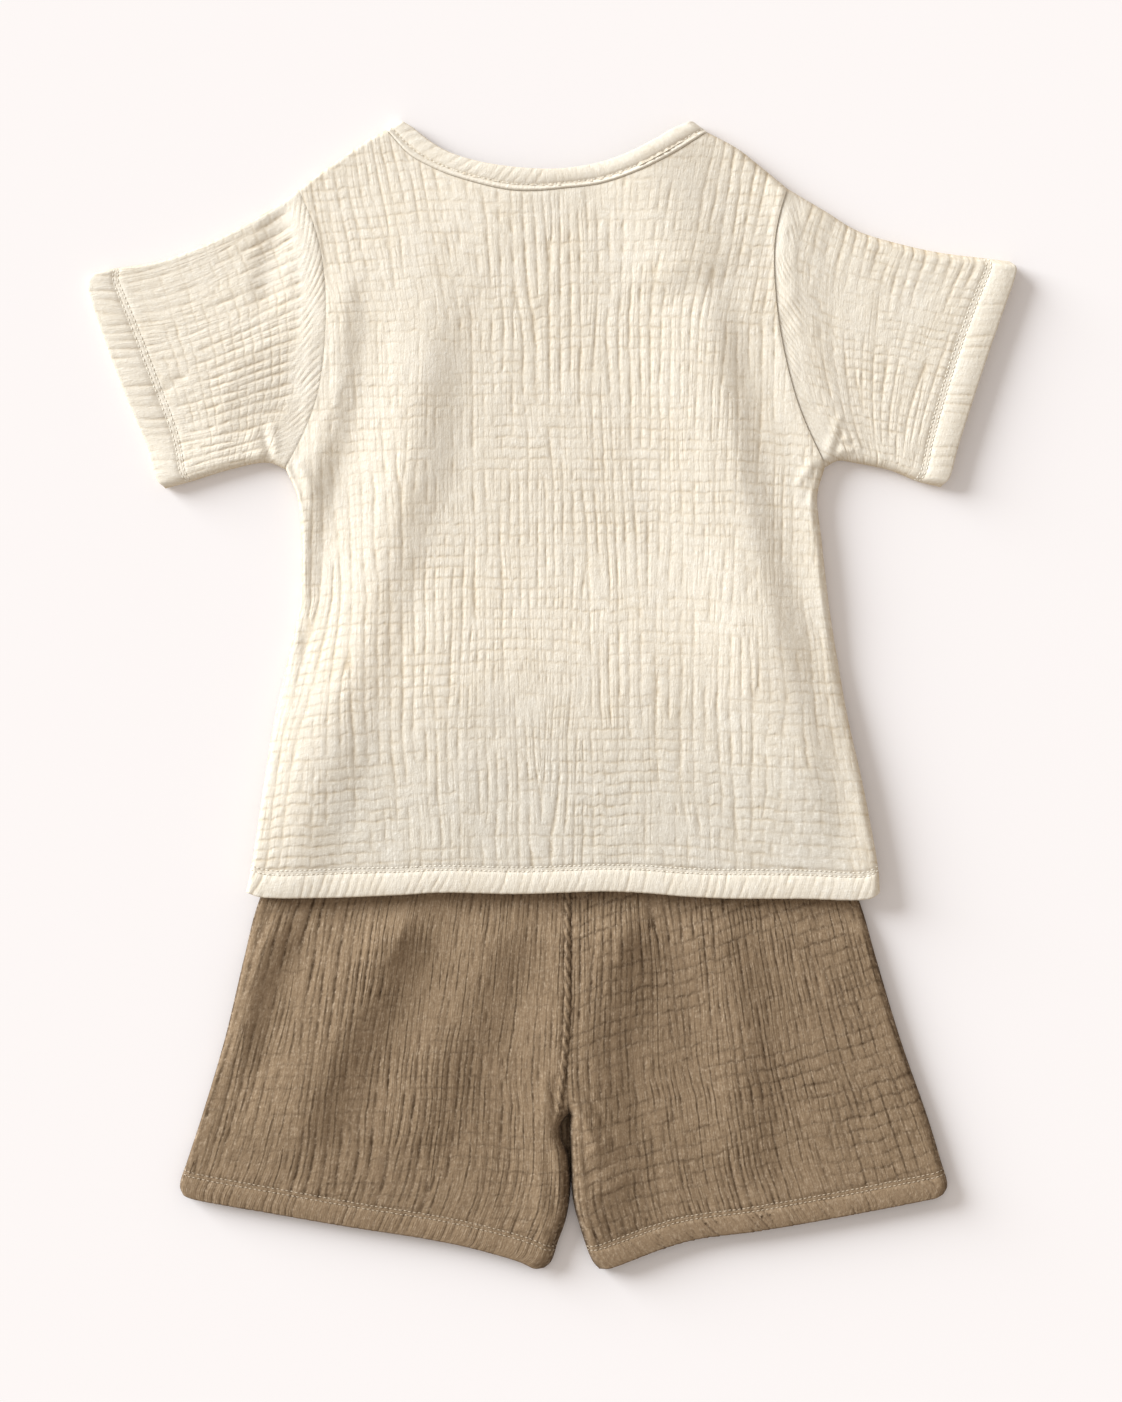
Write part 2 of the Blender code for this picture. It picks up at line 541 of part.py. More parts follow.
def build_waistband():
    """The gathered casing, one flattened ring round the waist."""
    lines = []
    for share in CASING_ROWS:
        start = (1 - share) * np.array(YOKE_LEFT) + share * np.array(WAIST_LEFT)
        end = (1 - share) * np.array(YOKE_RIGHT) + share * np.array(WAIST_RIGHT)
        width = end[0] - start[0]
        across = across_distances(width, GATHERS_WAIST, EDGE_STEPS)
        lines.append(start + (across / width)[:, None] * (end - start))
    grid = np.array(lines)
    grid[0, :, 1] += SEAM_GAP
    columns = grid.shape[1]
    closed = [("left", grid[:, 0]), ("right", grid[:, -1])]
    wall = np.full((len(CASING_ROWS), 1), CASING_WALL)
    gathers = np.tile(rib_heights(columns, GATHER_HEIGHT), (len(CASING_ROWS), 1))
    kept_columns = kept_of(columns, 3, 4)
    height = np.full(grid.shape[:2], TUCKED_LOFT)
    upper = upper_layer(grid, closed, height, floor_level, wall, gathers)
    under = under_layer(grid[:, kept_columns], closed, floor_level, wall)
    tube("waistband", TAUPE, upper, under, list(range(len(CASING_ROWS))), kept_columns)


def main():
    for thing in list(bpy.data.objects):
        bpy.data.objects.remove(thing)
    back_neck, front_neck = build_body()
    build_sleeve("sleeve_left", CUFF_LEFT, ARMHOLE_LEFT, SLEEVE_UNDER_LEFT, SLEEVE_TOP_LEFT,
                 turn=1, lengthwise=True)
    build_sleeve("sleeve_right", CUFF_RIGHT, ARMHOLE_RIGHT, SLEEVE_UNDER_RIGHT, SLEEVE_TOP_RIGHT,
                 turn=-1, lengthwise=False)
    build_neck_band(back_neck, front_neck)
    build_leg("left", INSEAM_LEFT, OUTSEAM_LEFT, LEG_HEM_LEFT, 1)
    build_leg("right", INSEAM_RIGHT, OUTSEAM_RIGHT, LEG_HEM_RIGHT, -1)
    build_waistband()


main()
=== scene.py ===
# Toddler's crinkle-gauze top and shorts, laid flat with the back up
# Sizes are in millimetres in the set's own frame, +Y towards the neck, and become metres in the meshes

import json
import math

import bpy
import numpy as np
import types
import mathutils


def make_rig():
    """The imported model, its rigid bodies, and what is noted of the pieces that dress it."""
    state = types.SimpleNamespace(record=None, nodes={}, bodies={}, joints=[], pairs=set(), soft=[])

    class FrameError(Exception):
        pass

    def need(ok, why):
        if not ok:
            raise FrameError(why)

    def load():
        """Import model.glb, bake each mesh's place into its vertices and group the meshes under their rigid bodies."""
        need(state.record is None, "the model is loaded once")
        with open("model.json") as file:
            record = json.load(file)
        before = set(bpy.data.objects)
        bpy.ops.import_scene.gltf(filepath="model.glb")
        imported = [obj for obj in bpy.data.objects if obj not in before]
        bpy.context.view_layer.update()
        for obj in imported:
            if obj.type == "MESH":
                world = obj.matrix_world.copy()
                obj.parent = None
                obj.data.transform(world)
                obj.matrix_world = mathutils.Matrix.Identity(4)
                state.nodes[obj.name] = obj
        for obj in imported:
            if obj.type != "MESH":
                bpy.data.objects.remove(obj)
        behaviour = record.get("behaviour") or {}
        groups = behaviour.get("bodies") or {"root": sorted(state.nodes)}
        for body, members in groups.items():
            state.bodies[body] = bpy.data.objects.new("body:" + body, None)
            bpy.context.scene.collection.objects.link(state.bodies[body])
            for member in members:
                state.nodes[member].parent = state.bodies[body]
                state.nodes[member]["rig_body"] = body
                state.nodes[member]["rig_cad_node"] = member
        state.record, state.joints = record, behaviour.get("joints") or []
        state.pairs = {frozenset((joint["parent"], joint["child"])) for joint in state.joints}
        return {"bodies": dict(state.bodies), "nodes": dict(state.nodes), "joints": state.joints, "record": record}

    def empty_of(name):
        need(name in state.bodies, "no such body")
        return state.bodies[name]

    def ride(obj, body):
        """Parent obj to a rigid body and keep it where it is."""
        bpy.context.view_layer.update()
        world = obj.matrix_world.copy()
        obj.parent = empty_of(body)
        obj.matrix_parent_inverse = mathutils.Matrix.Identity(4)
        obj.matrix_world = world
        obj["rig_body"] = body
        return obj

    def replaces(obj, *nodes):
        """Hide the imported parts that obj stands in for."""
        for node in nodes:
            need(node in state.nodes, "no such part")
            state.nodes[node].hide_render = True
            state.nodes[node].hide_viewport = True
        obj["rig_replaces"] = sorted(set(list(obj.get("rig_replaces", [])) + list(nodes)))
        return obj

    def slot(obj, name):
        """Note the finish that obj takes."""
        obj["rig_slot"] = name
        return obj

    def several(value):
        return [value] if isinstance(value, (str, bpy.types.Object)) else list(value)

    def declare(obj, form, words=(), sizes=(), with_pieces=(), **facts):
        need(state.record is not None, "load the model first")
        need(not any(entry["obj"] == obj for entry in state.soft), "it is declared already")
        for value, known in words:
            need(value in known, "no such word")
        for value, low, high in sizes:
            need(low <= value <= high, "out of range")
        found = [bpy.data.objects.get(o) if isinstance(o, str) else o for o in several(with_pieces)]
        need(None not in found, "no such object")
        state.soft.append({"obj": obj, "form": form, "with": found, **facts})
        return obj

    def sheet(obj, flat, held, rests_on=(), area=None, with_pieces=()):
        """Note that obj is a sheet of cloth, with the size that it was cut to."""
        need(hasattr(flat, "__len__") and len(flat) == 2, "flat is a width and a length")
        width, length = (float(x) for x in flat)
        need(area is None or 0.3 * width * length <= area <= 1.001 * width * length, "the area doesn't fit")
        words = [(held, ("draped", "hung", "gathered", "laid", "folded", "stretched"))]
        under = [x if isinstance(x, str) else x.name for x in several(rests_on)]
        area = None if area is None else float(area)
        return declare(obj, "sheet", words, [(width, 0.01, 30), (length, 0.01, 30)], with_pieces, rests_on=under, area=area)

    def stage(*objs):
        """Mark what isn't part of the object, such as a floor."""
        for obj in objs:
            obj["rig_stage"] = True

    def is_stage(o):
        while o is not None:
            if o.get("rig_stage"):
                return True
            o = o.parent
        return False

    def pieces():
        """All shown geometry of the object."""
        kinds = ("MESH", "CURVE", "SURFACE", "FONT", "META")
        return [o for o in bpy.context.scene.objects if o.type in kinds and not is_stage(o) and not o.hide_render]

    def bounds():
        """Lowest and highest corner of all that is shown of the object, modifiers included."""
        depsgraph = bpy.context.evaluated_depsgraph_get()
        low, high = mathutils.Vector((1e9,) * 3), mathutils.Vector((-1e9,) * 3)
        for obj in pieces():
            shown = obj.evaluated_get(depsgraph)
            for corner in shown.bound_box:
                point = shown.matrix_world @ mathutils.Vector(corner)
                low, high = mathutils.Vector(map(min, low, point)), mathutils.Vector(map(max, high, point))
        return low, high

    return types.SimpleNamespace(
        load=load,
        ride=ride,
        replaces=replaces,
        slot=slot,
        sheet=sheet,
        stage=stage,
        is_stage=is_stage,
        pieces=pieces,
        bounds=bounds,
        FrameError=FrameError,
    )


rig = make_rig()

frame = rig.load()
cadBox = [list(corner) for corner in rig.bounds()]
mm = 0.001

# The set's seams, hems and edges seen from above, each row x, y
outline = {
    "sideLeft": [(-159, -102.5), (-156.5, -91), (-151.8, -60), (-144.6, -13), (-137.8, 18), (-131.3, 49),
                 (-130.8, 85), (-133, 104), (-138.8, 117.5)],
    "sideRight": [(170.3, -103), (169.5, -91), (161, -44), (154, -13), (148.7, 18), (144, 49), (140.4, 81),
                  (138.2, 104), (142, 118.5)],
    "armholeLeft": [(-138.8, 117.5), (-128.7, 137.5), (-121.5, 158), (-117.7, 190), (-118.4, 219),
                    (-122.8, 241.5), (-132, 263.6)],
    "armholeRight": [(142, 118.5), (129, 147.5), (121.9, 171.8), (116.6, 203), (115.4, 233), (118.4, 251),
                     (122.4, 263.8)],
    "shoulderLeft": [(-132, 263.6), (-121.2, 272), (-109.2, 280.5), (-97, 288.8), (-86.6, 294.4)],
    "shoulderRight": [(81.4, 292.8), (96.5, 284.6), (107.6, 276), (122.4, 263.8)],
    "backNeck": [(-86.6, 294.4), (-74.5, 281.3), (-62.6, 274.4), (-50.6, 269.4), (-23.8, 262.4),
                 (-8.8, 261.7), (4.2, 262.8), (25.7, 265.5), (45.6, 272.1), (62.2, 280.4), (81.4, 292.8)],
    "frontNeck": [(-86.6, 294.4), (-77, 270), (-55, 248), (-3, 236), (50, 247), (72, 269), (81.4, 292.8)],
    "backNeckEdge": [(-79, 299), (-73.8, 295.8), (-63.4, 287.8), (-53, 281.8), (-32, 275.8), (-1, 273),
                     (20.7, 275.4), (37.3, 280.4), (53.9, 288.7), (62.2, 293.7), (73.8, 298.6)],
    "frontNeckEdge": [(-79, 299), (-69, 278.5), (-49, 258.5), (-2.5, 247), (45, 257.5), (65, 278),
                      (73.8, 298.6)],
    "topHem": [(-159, -102.5), (-152, -105), (-120.6, -105.6), (-79, -104), (-58, -102.8), (-16.6, -103.5),
               (25, -102.2), (45.8, -102.8), (66.6, -104.6), (90, -105.8), (129, -106), (165, -106),
               (170.3, -103)],
    "sleeveTopLeft": [(-239.5, 219.8), (-229.8, 222), (-206.4, 225.8), (-183, 234), (-157.6, 246.8),
                      (-142, 255.8), (-132, 263.6)],
    "sleeveUnderLeft": [(-201.5, 107.5), (-187, 111.5), (-170, 116.8), (-148, 121), (-138.8, 117.5)],
    "cuffLeft": [(-201.5, 107.5), (-205.5, 111.5), (-211, 129.5), (-221.5, 154.4), (-231, 179), (-240, 205.5),
                 (-241.8, 214), (-239.5, 219.8)],
    "sleeveTopRight": [(238.5, 225.8), (225, 227.5), (202.3, 230.4), (183, 234.5), (159, 241.8),
                       (143.5, 251.2), (130.5, 259), (122.4, 263.8)],
    "sleeveUnderRight": [(202.5, 108.2), (190, 111.4), (176, 117), (158, 120.8), (149, 122), (142, 118.5)],
    "cuffRight": [(202.5, 108.2), (206.5, 112), (211.6, 129.5), (219.5, 154.4), (227.8, 179.4),
                  (236.6, 204.4), (241, 217.5), (241.6, 222.5), (238.5, 225.8)],
    "waist": [(-109, -36), (124, -36)],
    "yoke": [(-114, -60), (129.5, -60)],
    "centreSeam": [(9.2, -218), (7.4, -205), (7.4, -190), (8.6, -165), (9.5, -103), (8, -60)],
    "outseamLeft": [(-192.2, -260.4), (-193.9, -255.5), (-189.8, -241.8), (-183, -221), (-170.6, -179.4),
                    (-160.7, -137.8), (-153.4, -109.2), (-141, -82), (-114, -60)],
    "outseamRight": [(203.8, -260), (205.9, -255.5), (202.3, -241.8), (196, -221), (181.5, -179.4),
                     (169, -137.8), (160.7, -109.2), (150, -84), (129.5, -60)],
    "inseamLeft": [(-4.2, -298.4), (-0.6, -295.2), (3.1, -284.6), (7.3, -272.6), (9.4, -257), (9, -244),
                   (7.8, -237), (5.4, -231), (4.6, -226), (6, -221.5), (9.2, -218)],
    "inseamLeftUnder": [(-4.2, -298.4), (-0.6, -295.2), (3.1, -284.6), (7.3, -272.6), (9.6, -257),
                        (9.2, -218)],
    "inseamRight": [(24.6, -298.8), (21, -294.6), (14.6, -277), (10.9, -262.6), (9.8, -243), (9.2, -218)],
    "legHemLeft": [(-192.2, -260.4), (-187, -262.3), (-146.6, -269.6), (-105, -276.8), (-63.4, -283.3),
                   (-42.6, -287.6), (-16.6, -295), (-9, -298.4), (-4.2, -298.4)],
    "legHemRight": [(24.6, -298.8), (30, -298.3), (56.2, -288.6), (74, -283.4), (108.2, -278.8),
                    (149.8, -271.6), (191.4, -263.5), (199, -261.9), (203.8, -260)],
}

# How the set is laid
lay = {
    "plumpSeam": 2.8,       # height of the seams on the plump right side
    "flatSeam": 1.6,        # and on the flatter left side
    "topLoft": 8.4,         # height of the top's upper layer
    "shortsLoft": 8.2,
    "tuckedLoft": 4.6,      # the shorts where the top covers them
    "lift": 5.5,            # how far the shorts raise the top
    "liftRun": 60.0,        # length over which it comes down to the floor again
    "softRun": 120.0,       # the same for the upper layer, away from its side seams
    "liftRim": [(-162, -112), (-150, -84), (-117, -28), (132, -28), (158, -84), (169, -112)],
    "pressedDrop": 2.8,     # how much flatter the top lies on the shorts
    "pressedFolds": 0.35,
    "shownFrom": -104.0,    # y below which the shorts show
    "shownRun": 24.0,
    "plumpRound": 4.5,      # reach of the edges' round
    "flatRound": 1.8,
    "flatDrop": 3.8,        # how much lower the left side lies
    "flatRun": 78.0,
    "topFlat": ("cuffLeft", "sleeveTopLeft", "shoulderLeft", "sideLeft"),
    "topPuffed": ("sleeveUnderLeft",),
    "shortsFlat": ("outseamLeft",),
    "shortsPuffed": ("legHemLeft",),
    "puffRun": 30.0,        # the cloth stays full this close to the puffed edges
    "underRound": 2.8,
}

# Large soft folds: crest from its upper to its lower end, half width to the left and right, height
topFolds = [
    ([(-61, 234), (-66, 190), (-69, 164), (-74, 122), (-90, 70), (-105, 18), (-119, -34),
      (-131, -70), (-150, -140)], 18, 13.5, 3.6),
    ([(-109, 234), (-109, 205), (-110, 164), (-122, 122), (-130, 80), (-135, 30)], 7, 6.5, 1.8),
    ([(66, 240), (76, 212), (86, 164), (94, 122), (105, 70), (118, 18), (131, -34), (142, -100)],
     26, 9.6, 3.4),
    ([(116, 205), (125, 164), (137, 122), (140, 70), (146, 30)], 7, 6, 1.1),
    ([(48, 300), (54, 270), (62, 240), (70, 206)], 18, 19, 2.5),
    ([(119, 280), (119, 257), (120, 215), (122, 190)], 5, 5, 1.1),
    ([(128, 262), (126, 240), (127, 205), (132, 175)], 5, 11, 1.2),
    ([(-138, 266), (-144, 240), (-148, 218), (-149, 196)], 6, 6, -1.3),
    ([(-129, 262), (-125, 240), (-122, 200), (-124, 160), (-134, 130)], 6, 4, 0.8),
    ([(128, 188), (138, 160), (146, 135), (151, 112)], 6, 9, 1.3),
    ([(-46, 20), (-52, -20), (-58, -70), (-62, -110)], 16, 20, 0.9),
]
shortsFolds = [
    ([(-134, -84), (-144, -120), (-157, -151), (-162, -180), (-167, -206)], 6.5, 8, 3.7),
    ([(-70, -84), (-83, -122), (-96, -148), (-113, -179), (-128, -211), (-140, -250)], 22, 13, 4.6),
    ([(-20, -84), (-29, -122), (-38, -148), (-52, -179), (-66, -211), (-80, -252)], 14, 13, 2.4),
    ([(42, -76), (28, -122), (26, -148), (17, -179), (17, -211), (18, -242), (22, -300)], 22, 16, 4.8),
    ([(78, -84), (86, -122), (93, -148), (97, -179), (98, -211), (100, -262)], 14, 11, 2.4),
    ([(-70, -84), (-76, -104), (-81, -122), (-90, -146)], 9, 6, 1.9),
    ([(44, -80), (39, -104), (35, -122), (31, -148)], 9, 6.5, 1.9),
]
foldLimits = (-3, 5.8)


# Curves and grids

def denseCurve(points):  # a smooth curve through the points, as a fine polyline
    p = np.array(points, float)
    p = np.vstack([2 * p[0] - p[1], p, 2 * p[-1] - p[-2]])
    out = []
    for a, b, c, d in zip(p[:-3], p[1:-2], p[2:-1], p[3:]):
        t1 = math.sqrt(np.linalg.norm(b - a))
        t2 = t1 + math.sqrt(np.linalg.norm(c - b))
        t3 = t2 + math.sqrt(np.linalg.norm(d - c))
        for t in np.linspace(t1, t2, 12, endpoint=False):
            ab = (t1 - t) / t1 * a + t / t1 * b
            bc = (t2 - t) / (t2 - t1) * b + (t - t1) / (t2 - t1) * c
            cd = (t3 - t) / (t3 - t2) * c + (t - t2) / (t3 - t2) * d
            abc = (t2 - t) / t2 * ab + t / t2 * bc
            bcd = (t3 - t) / (t3 - t1) * bc + (t - t1) / (t3 - t1) * cd
            out.append((t2 - t) / (t2 - t1) * abc + (t - t1) / (t2 - t1) * bcd)
    out.append(p[-2])
    return np.array(out)


def curveOf(name):
    return denseCurve(outline[name])


def lengthsOf(curve):
    return np.concatenate([[0.0], np.cumsum(np.linalg.norm(np.diff(curve, axis=0), axis=1))])


def atDistances(curve, distances):
    s = lengthsOf(curve)
    d = np.clip(distances, 0.0, s[-1])
    return np.stack([np.interp(d, s, curve[:, k]) for k in range(curve.shape[1])], axis=1)


def atShares(curve, shares):
    return atDistances(curve, np.array(shares) * lengthsOf(curve)[-1])


def sharesOf(points):
    s = lengthsOf(points)
    return s / s[-1]


def unitOf(vectors):
    return vectors / np.maximum(np.linalg.norm(vectors, axis=-1, keepdims=True), 1e-9)


def coons(bottom, top, left, right):  # rows from bottom to top, columns from left to right
    u = sharesOf(bottom)[None, :, None]
    v = sharesOf(left)[:, None, None]
    corners = (1 - u) * (1 - v) * bottom[0] + u * (1 - v) * bottom[-1]
    corners = corners + (1 - u) * v * top[0] + u * v * top[-1]
    return (1 - v) * bottom[None] + v * top[None] + (1 - u) * left[:, None] + u * right[:, None] - corners


def spaced(length, step, near=(), nearEnd=()):  # distances along an edge, closer at its ends
    start = list(near) or [0.0]
    end = [length - d for d in reversed(list(nearEnd) or [0.0])]
    count = max(2, int(round((end[0] - start[-1]) / step)))
    return np.array(start[:-1] + list(np.linspace(start[-1], end[0], count + 1)) + end[1:])


edgeSteps = (0.0, 0.25, 0.8, 1.6, 2.6, 3.8, 5.0)
hemSteps = (0.0, 0.6, 1.3, 2.1, 3.0, 4.2, 5.6, 7.0, 8.4, 9.6,
            10.6, 11.4, 12.0, 12.6, 13.2, 13.8, 14.4, 15.0, 15.8, 16.8)
hemReach = 17  # rows up to here keep their distance from the hem
hemWidth = 14.3  # its stitches are this far from its edge
hemRoll = 1.0  # radius of its turned edge
hemInner = (3.0, 7.0)  # depths of the rows inside a rolled hem
turning = 14.5  # cloth turned in at a hem
rowGap = 2.2  # between a hem's two rows of stitches
underSeed = 40  # gives an under layer a crinkle of its own
farAway = 1e9


def stretchedSteps(steps, length, newLength):  # for an edge of another length, the same in the hem
    beyond = hemReach + (steps - hemReach) * (newLength - hemReach) / (length - hemReach)
    return np.where(steps < hemReach, steps, beyond)


def spread(across, steps):  # each grid point's place along the hem and up from it
    return np.meshgrid(across, steps)


# Noise

noiseTable = np.random.default_rng(41).random((256, 256)) * 2 - 1


def noise(x, y, seed):  # smooth value noise from -1 to 1
    x = x + seed * 37.17
    y = y + seed * 53.71
    x0, y0 = np.floor(x), np.floor(y)
    fx, fy = x - x0, y - y0
    fx, fy = fx * fx * (3 - 2 * fx), fy * fy * (3 - 2 * fy)
    xi, yi = x0.astype(int) % 256, y0.astype(int) % 256
    xj, yj = (xi + 1) % 256, (yi + 1) % 256
    low = noiseTable[yi, xi] * (1 - fx) + noiseTable[yi, xj] * fx
    high = noiseTable[yj, xi] * (1 - fx) + noiseTable[yj, xj] * fx
    return low * (1 - fy) + high * fy


def smoothstep(t):
    t = np.clip(t, 0.0, 1.0)
    return t * t * (3 - 2 * t)


def hump(t, width):  # 1 at zero, falling to both sides
    return np.exp(-(t / width) ** 2)


def ribsOf(phase, shape=0.8):  # 1 on the crests and 0 in the grooves between them
    return np.abs(np.sin(math.pi * phase)) ** shape


# Heights

def segmentDistance(points, a, b):
    a, b = np.array(a, float), np.array(b, float)
    share = np.clip((points - a) @ (b - a) / ((b - a) @ (b - a)), 0.0, 1.0)
    return np.linalg.norm(a + share[..., None] * (b - a) - points, axis=-1), share


def curveDistance(points, curve):
    nearest = np.full(points.shape[:-1], farAway)
    for a, b in zip(curve[:-1], curve[1:]):
        nearest = np.minimum(nearest, segmentDistance(points, a, b)[0])
    return nearest


def nearestOf(points, curves):
    return np.min([curveDistance(points, curve) for curve in curves], axis=0)


def sideOf(points, a, b):  # above 0 to the left of the line from a to b
    return (b[0] - a[0]) * (points[..., 1] - a[1]) - (b[1] - a[1]) * (points[..., 0] - a[0])


def foldRelief(points, folds):
    total = np.zeros(points.shape[:-1])
    for crest, leftWidth, rightWidth, height in folds:
        crest = np.array(crest, float)
        marks = sharesOf(crest)
        nearest = np.full(points.shape[:-1], farAway)
        along, side = np.zeros_like(nearest), np.zeros_like(nearest)
        for a, b, start, end in zip(crest[:-1], crest[1:], marks[:-1], marks[1:]):
            distance, share = segmentDistance(points, a, b)
            closer = distance < nearest
            nearest = np.where(closer, distance, nearest)
            side = np.where(closer, sideOf(points, a, b), side)
            along = np.where(closer, start + share * (end - start), along)
        width = np.where(side > 0, rightWidth, leftWidth)
        taper = smoothstep(along * 5) * smoothstep((1 - along) * 5)
        total += height * taper * (1 - smoothstep(nearest / (2 * width)))
    return np.clip(total, *foldLimits)


def creaseRelief(points, creases):  # small sharp creases and puckers: both ends, half width, height
    total = np.zeros(points.shape[:-1])
    for x0, y0, x1, y1, halfWidth, height in creases:
        distance, share = segmentDistance(points, (x0, y0), (x1, y1))
        taper = smoothstep(share * 5 + 0.3) * smoothstep((1 - share) * 5 + 0.3)
        total += height * taper * hump(distance, halfWidth)
    return total


def liftAt(points, run=None):  # height that the shorts give the top
    rim = lay["liftRim"]
    inside = np.all([sideOf(points, a, b) < 0 for a, b in zip(rim[:-1], rim[1:])], axis=0)
    nearest = np.where(inside | (points[..., 1] < rim[0][1]), 0.0, curveDistance(points, rim))
    return lay["lift"] * (1 - smoothstep(nearest / (run or lay["liftRun"])))


def flatDrop(points, flat, puffed):  # the left side lies flatter towards its edges
    toFlat, toPuffed = (nearestOf(points, [curveOf(name)[::4] for name in names]) for names in (flat, puffed))
    full = 0.3 + 0.7 * smoothstep(toPuffed / lay["puffRun"])
    return lay["flatDrop"] * full * (1 - smoothstep(toFlat / lay["flatRun"]))


def topHeight(points):
    pressed = liftAt(points) / lay["lift"]
    folds = foldRelief(points, topFolds) * (1 - lay["pressedFolds"] * pressed)
    drop = flatDrop(points, lay["topFlat"], lay["topPuffed"]) * (1 - 0.85 * pressed)
    return lay["topLoft"] - lay["pressedDrop"] * pressed - drop + folds


def shortsHeight(points):
    shown = smoothstep((lay["shownFrom"] - points[..., 1]) / lay["shownRun"])
    drop = 0.6 * flatDrop(points, lay["shortsFlat"], lay["shortsPuffed"])
    loft = lay["shortsLoft"] - drop + foldRelief(points, shortsFolds)
    return lay["tuckedLoft"] + (loft - lay["tuckedLoft"]) * shown


def turnAt(grid, closed):  # 0 on closed edges to 1 beyond their round, and their distance and level
    turn = np.ones(grid.shape[:-1])
    nearest = np.full(grid.shape[:-1], farAway)
    levels, weights = np.zeros_like(turn), np.zeros_like(turn)
    for curve, reach, level in closed:
        distance = curveDistance(grid, curve)
        turn = np.minimum(turn, np.sqrt(1 - np.clip(1 - distance / reach, 0.0, 1.0) ** 2))
        nearest = np.minimum(nearest, distance)
        weight = 1 / (distance + 0.5) ** 3
        levels, weights = levels + weight * level, weights + weight
    return turn, nearest, levels / weights


def edgesOf(curves, kinds, up, reach=None):  # closed edges: curve, reach of its round, level
    return [(curve, (reach or lay[kind + "Round"]) if up else lay["underRound"], lay[kind + "Seam"])
            for curve, kind in zip(curves, kinds)]


def upperZ(level, turn, loft, height):
    return level + (loft - level) * turn + height * turn


def underZ(level, turn, height, thick, share=0.5):  # an under layer's crinkle is lower and points down
    return level * (1 - turn) - (height - thick) * share * turn


# Crinkle of the gauze. Distances are in mm on the cloth: u across the ribs, v along them

def ribLines(phase, q, strengths):  # the shader draws the sharp lines of the crinkle from these
    angle = 2 * math.pi * phase
    return {"ribMap": np.dstack([np.cos(angle), np.sin(angle), np.broadcast_to(q, angle.shape)]),
            "ribShare": np.dstack([np.broadcast_to(s, angle.shape) for s in strengths])}


def crinkle(u, v, look, seed):
    pitch, crossPitch = look["ribPitch"], look["crossPitch"]
    wander = 0.30 * noise(u / 32, v / 80, seed) + 0.16 * noise(u / 10, v / 26, seed + 1)
    wander = wander + 0.05 * noise(u / (0.9 * pitch), v / (0.8 * crossPitch), seed + 2)
    phase = u / pitch + look["wander"] * wander
    places = np.random.default_rng(seed).random((look["merges"], 2))
    for k, (a, b) in enumerate(places):  # ribs that join: each adds or ends one rib
        du = u - (u.min() + a * (u.max() - u.min()))
        dv = (v - (v.min() + b * (v.max() - v.min()))) * 0.16
        phase = phase + (1 if k % 2 else -1) * np.arctan2(du, dv) / (2 * math.pi)
    rib = ribsOf(phase, look["ribShape"])
    strength = np.clip(0.62 + 0.36 * noise(u / (0.9 * pitch), v / 22, seed + 3)
                       + 0.42 * noise(u / 45, v / 45, seed + 4)
                       + 0.45 * noise(u / pitch, v / crossPitch, seed + 16), 0.08, 1.25)
    halfStrength = 0.6 + 0.8 * noise(u / (0.8 * pitch), v / 16, seed + 5)
    halfStrength = np.clip(look["halfRibs"] * halfStrength, 0.0, 1.1)
    q = v / crossPitch + 0.34 * noise(u / 40, v / 40, seed + 6)
    q = q + 0.14 * noise(u / (0.9 * pitch), v / 50, seed + 7)
    q = q + 0.05 * noise(u / (0.5 * pitch), v / 9, seed + 17)
    crossStrength = 0.60 + 0.5 * noise(u / 15, v / (1.1 * crossPitch), seed + 8)
    crossStrength = crossStrength + 0.3 * noise(u / (0.8 * pitch), v / (0.9 * crossPitch), seed + 19)
    crossStrength = crossStrength + 0.45 * noise(u / 40, v / 32, seed + 18)
    crossStrength = np.clip(look["cross"] * crossStrength, 0.0, 1.25)
    pillow = ribsOf(q)
    height = look["ribDepth"] * strength * (rib - 1) * (0.7 + 0.3 * pillow)
    height += look["crossDepth"] * crossStrength * (pillow - 1) * (0.35 + 0.65 * rib)
    height += look["pucker"] * (noise(u / 7, v / 11, seed + 9) + 0.6 * noise(u / 3, v / 4.5, seed + 10))
    worm = noise(u / 5.5, v / 8, seed + 13) + 0.4 * noise(u / 2.2, v / 3.1, seed + 14)
    crease = hump(worm, 0.07) * np.clip(noise(u / 9, v / 9, seed + 15) + 0.1, 0, 1)
    height -= look["creased"] * crease
    # painted shade: darker in the crinkle's grooves, creases and cross lines
    paintedShade = 0.5 * strength * (1 - rib) ** 1.5 * (0.6 + 0.4 * pillow) + 0.3 * crease
    paintedShade = np.clip(paintedShade + 0.36 * crossStrength * (1 - pillow), 0.0, 1.3)
    return {"height": height, "paintedShade": paintedShade, **ribLines(phase, q, (strength, crossStrength, halfStrength))}


def hemCrinkle(u, d, look, seed):  # the ribs in a pressed hem: closer, flatter and leaning
    lean = look["hemLean"] * (1 + 0.5 * noise(u / 30, d * 0, seed + 20))
    phase = (u + lean * d) / look["hemPitch"] + 0.5 * noise(u / 14, d / 20, seed + 21)
    rib = ribsOf(phase)
    strength = np.clip(0.55 + 0.65 * noise(u / 4, d / 14, seed + 22), 0.05, 1.1)
    height = look["hemDepth"] * strength * (rib - 1) + 0.06 * noise(u / 1.6, d / 1.6, seed + 23)
    lines = ribLines(phase, d * 0, (strength * 0.9, 0.0, strength * 0.6))
    # the last value is painted shade in the hem's grooves
    return {"height": height, "paintedShade": strength * (1 - rib) ** 2 * 0.5, **lines}


def hemShape(d, look):  # puffed band, with the cloth drawn down under two rows of stitches
    inner = hemWidth - rowGap
    puff = look["hemPuff"] * np.sin(math.pi * np.clip(d / inner, 0, 1)) * (d < inner)
    return puff - look["hemDip"] * (hump(d - inner, 0.9) + hump(d - hemWidth, 0.9))


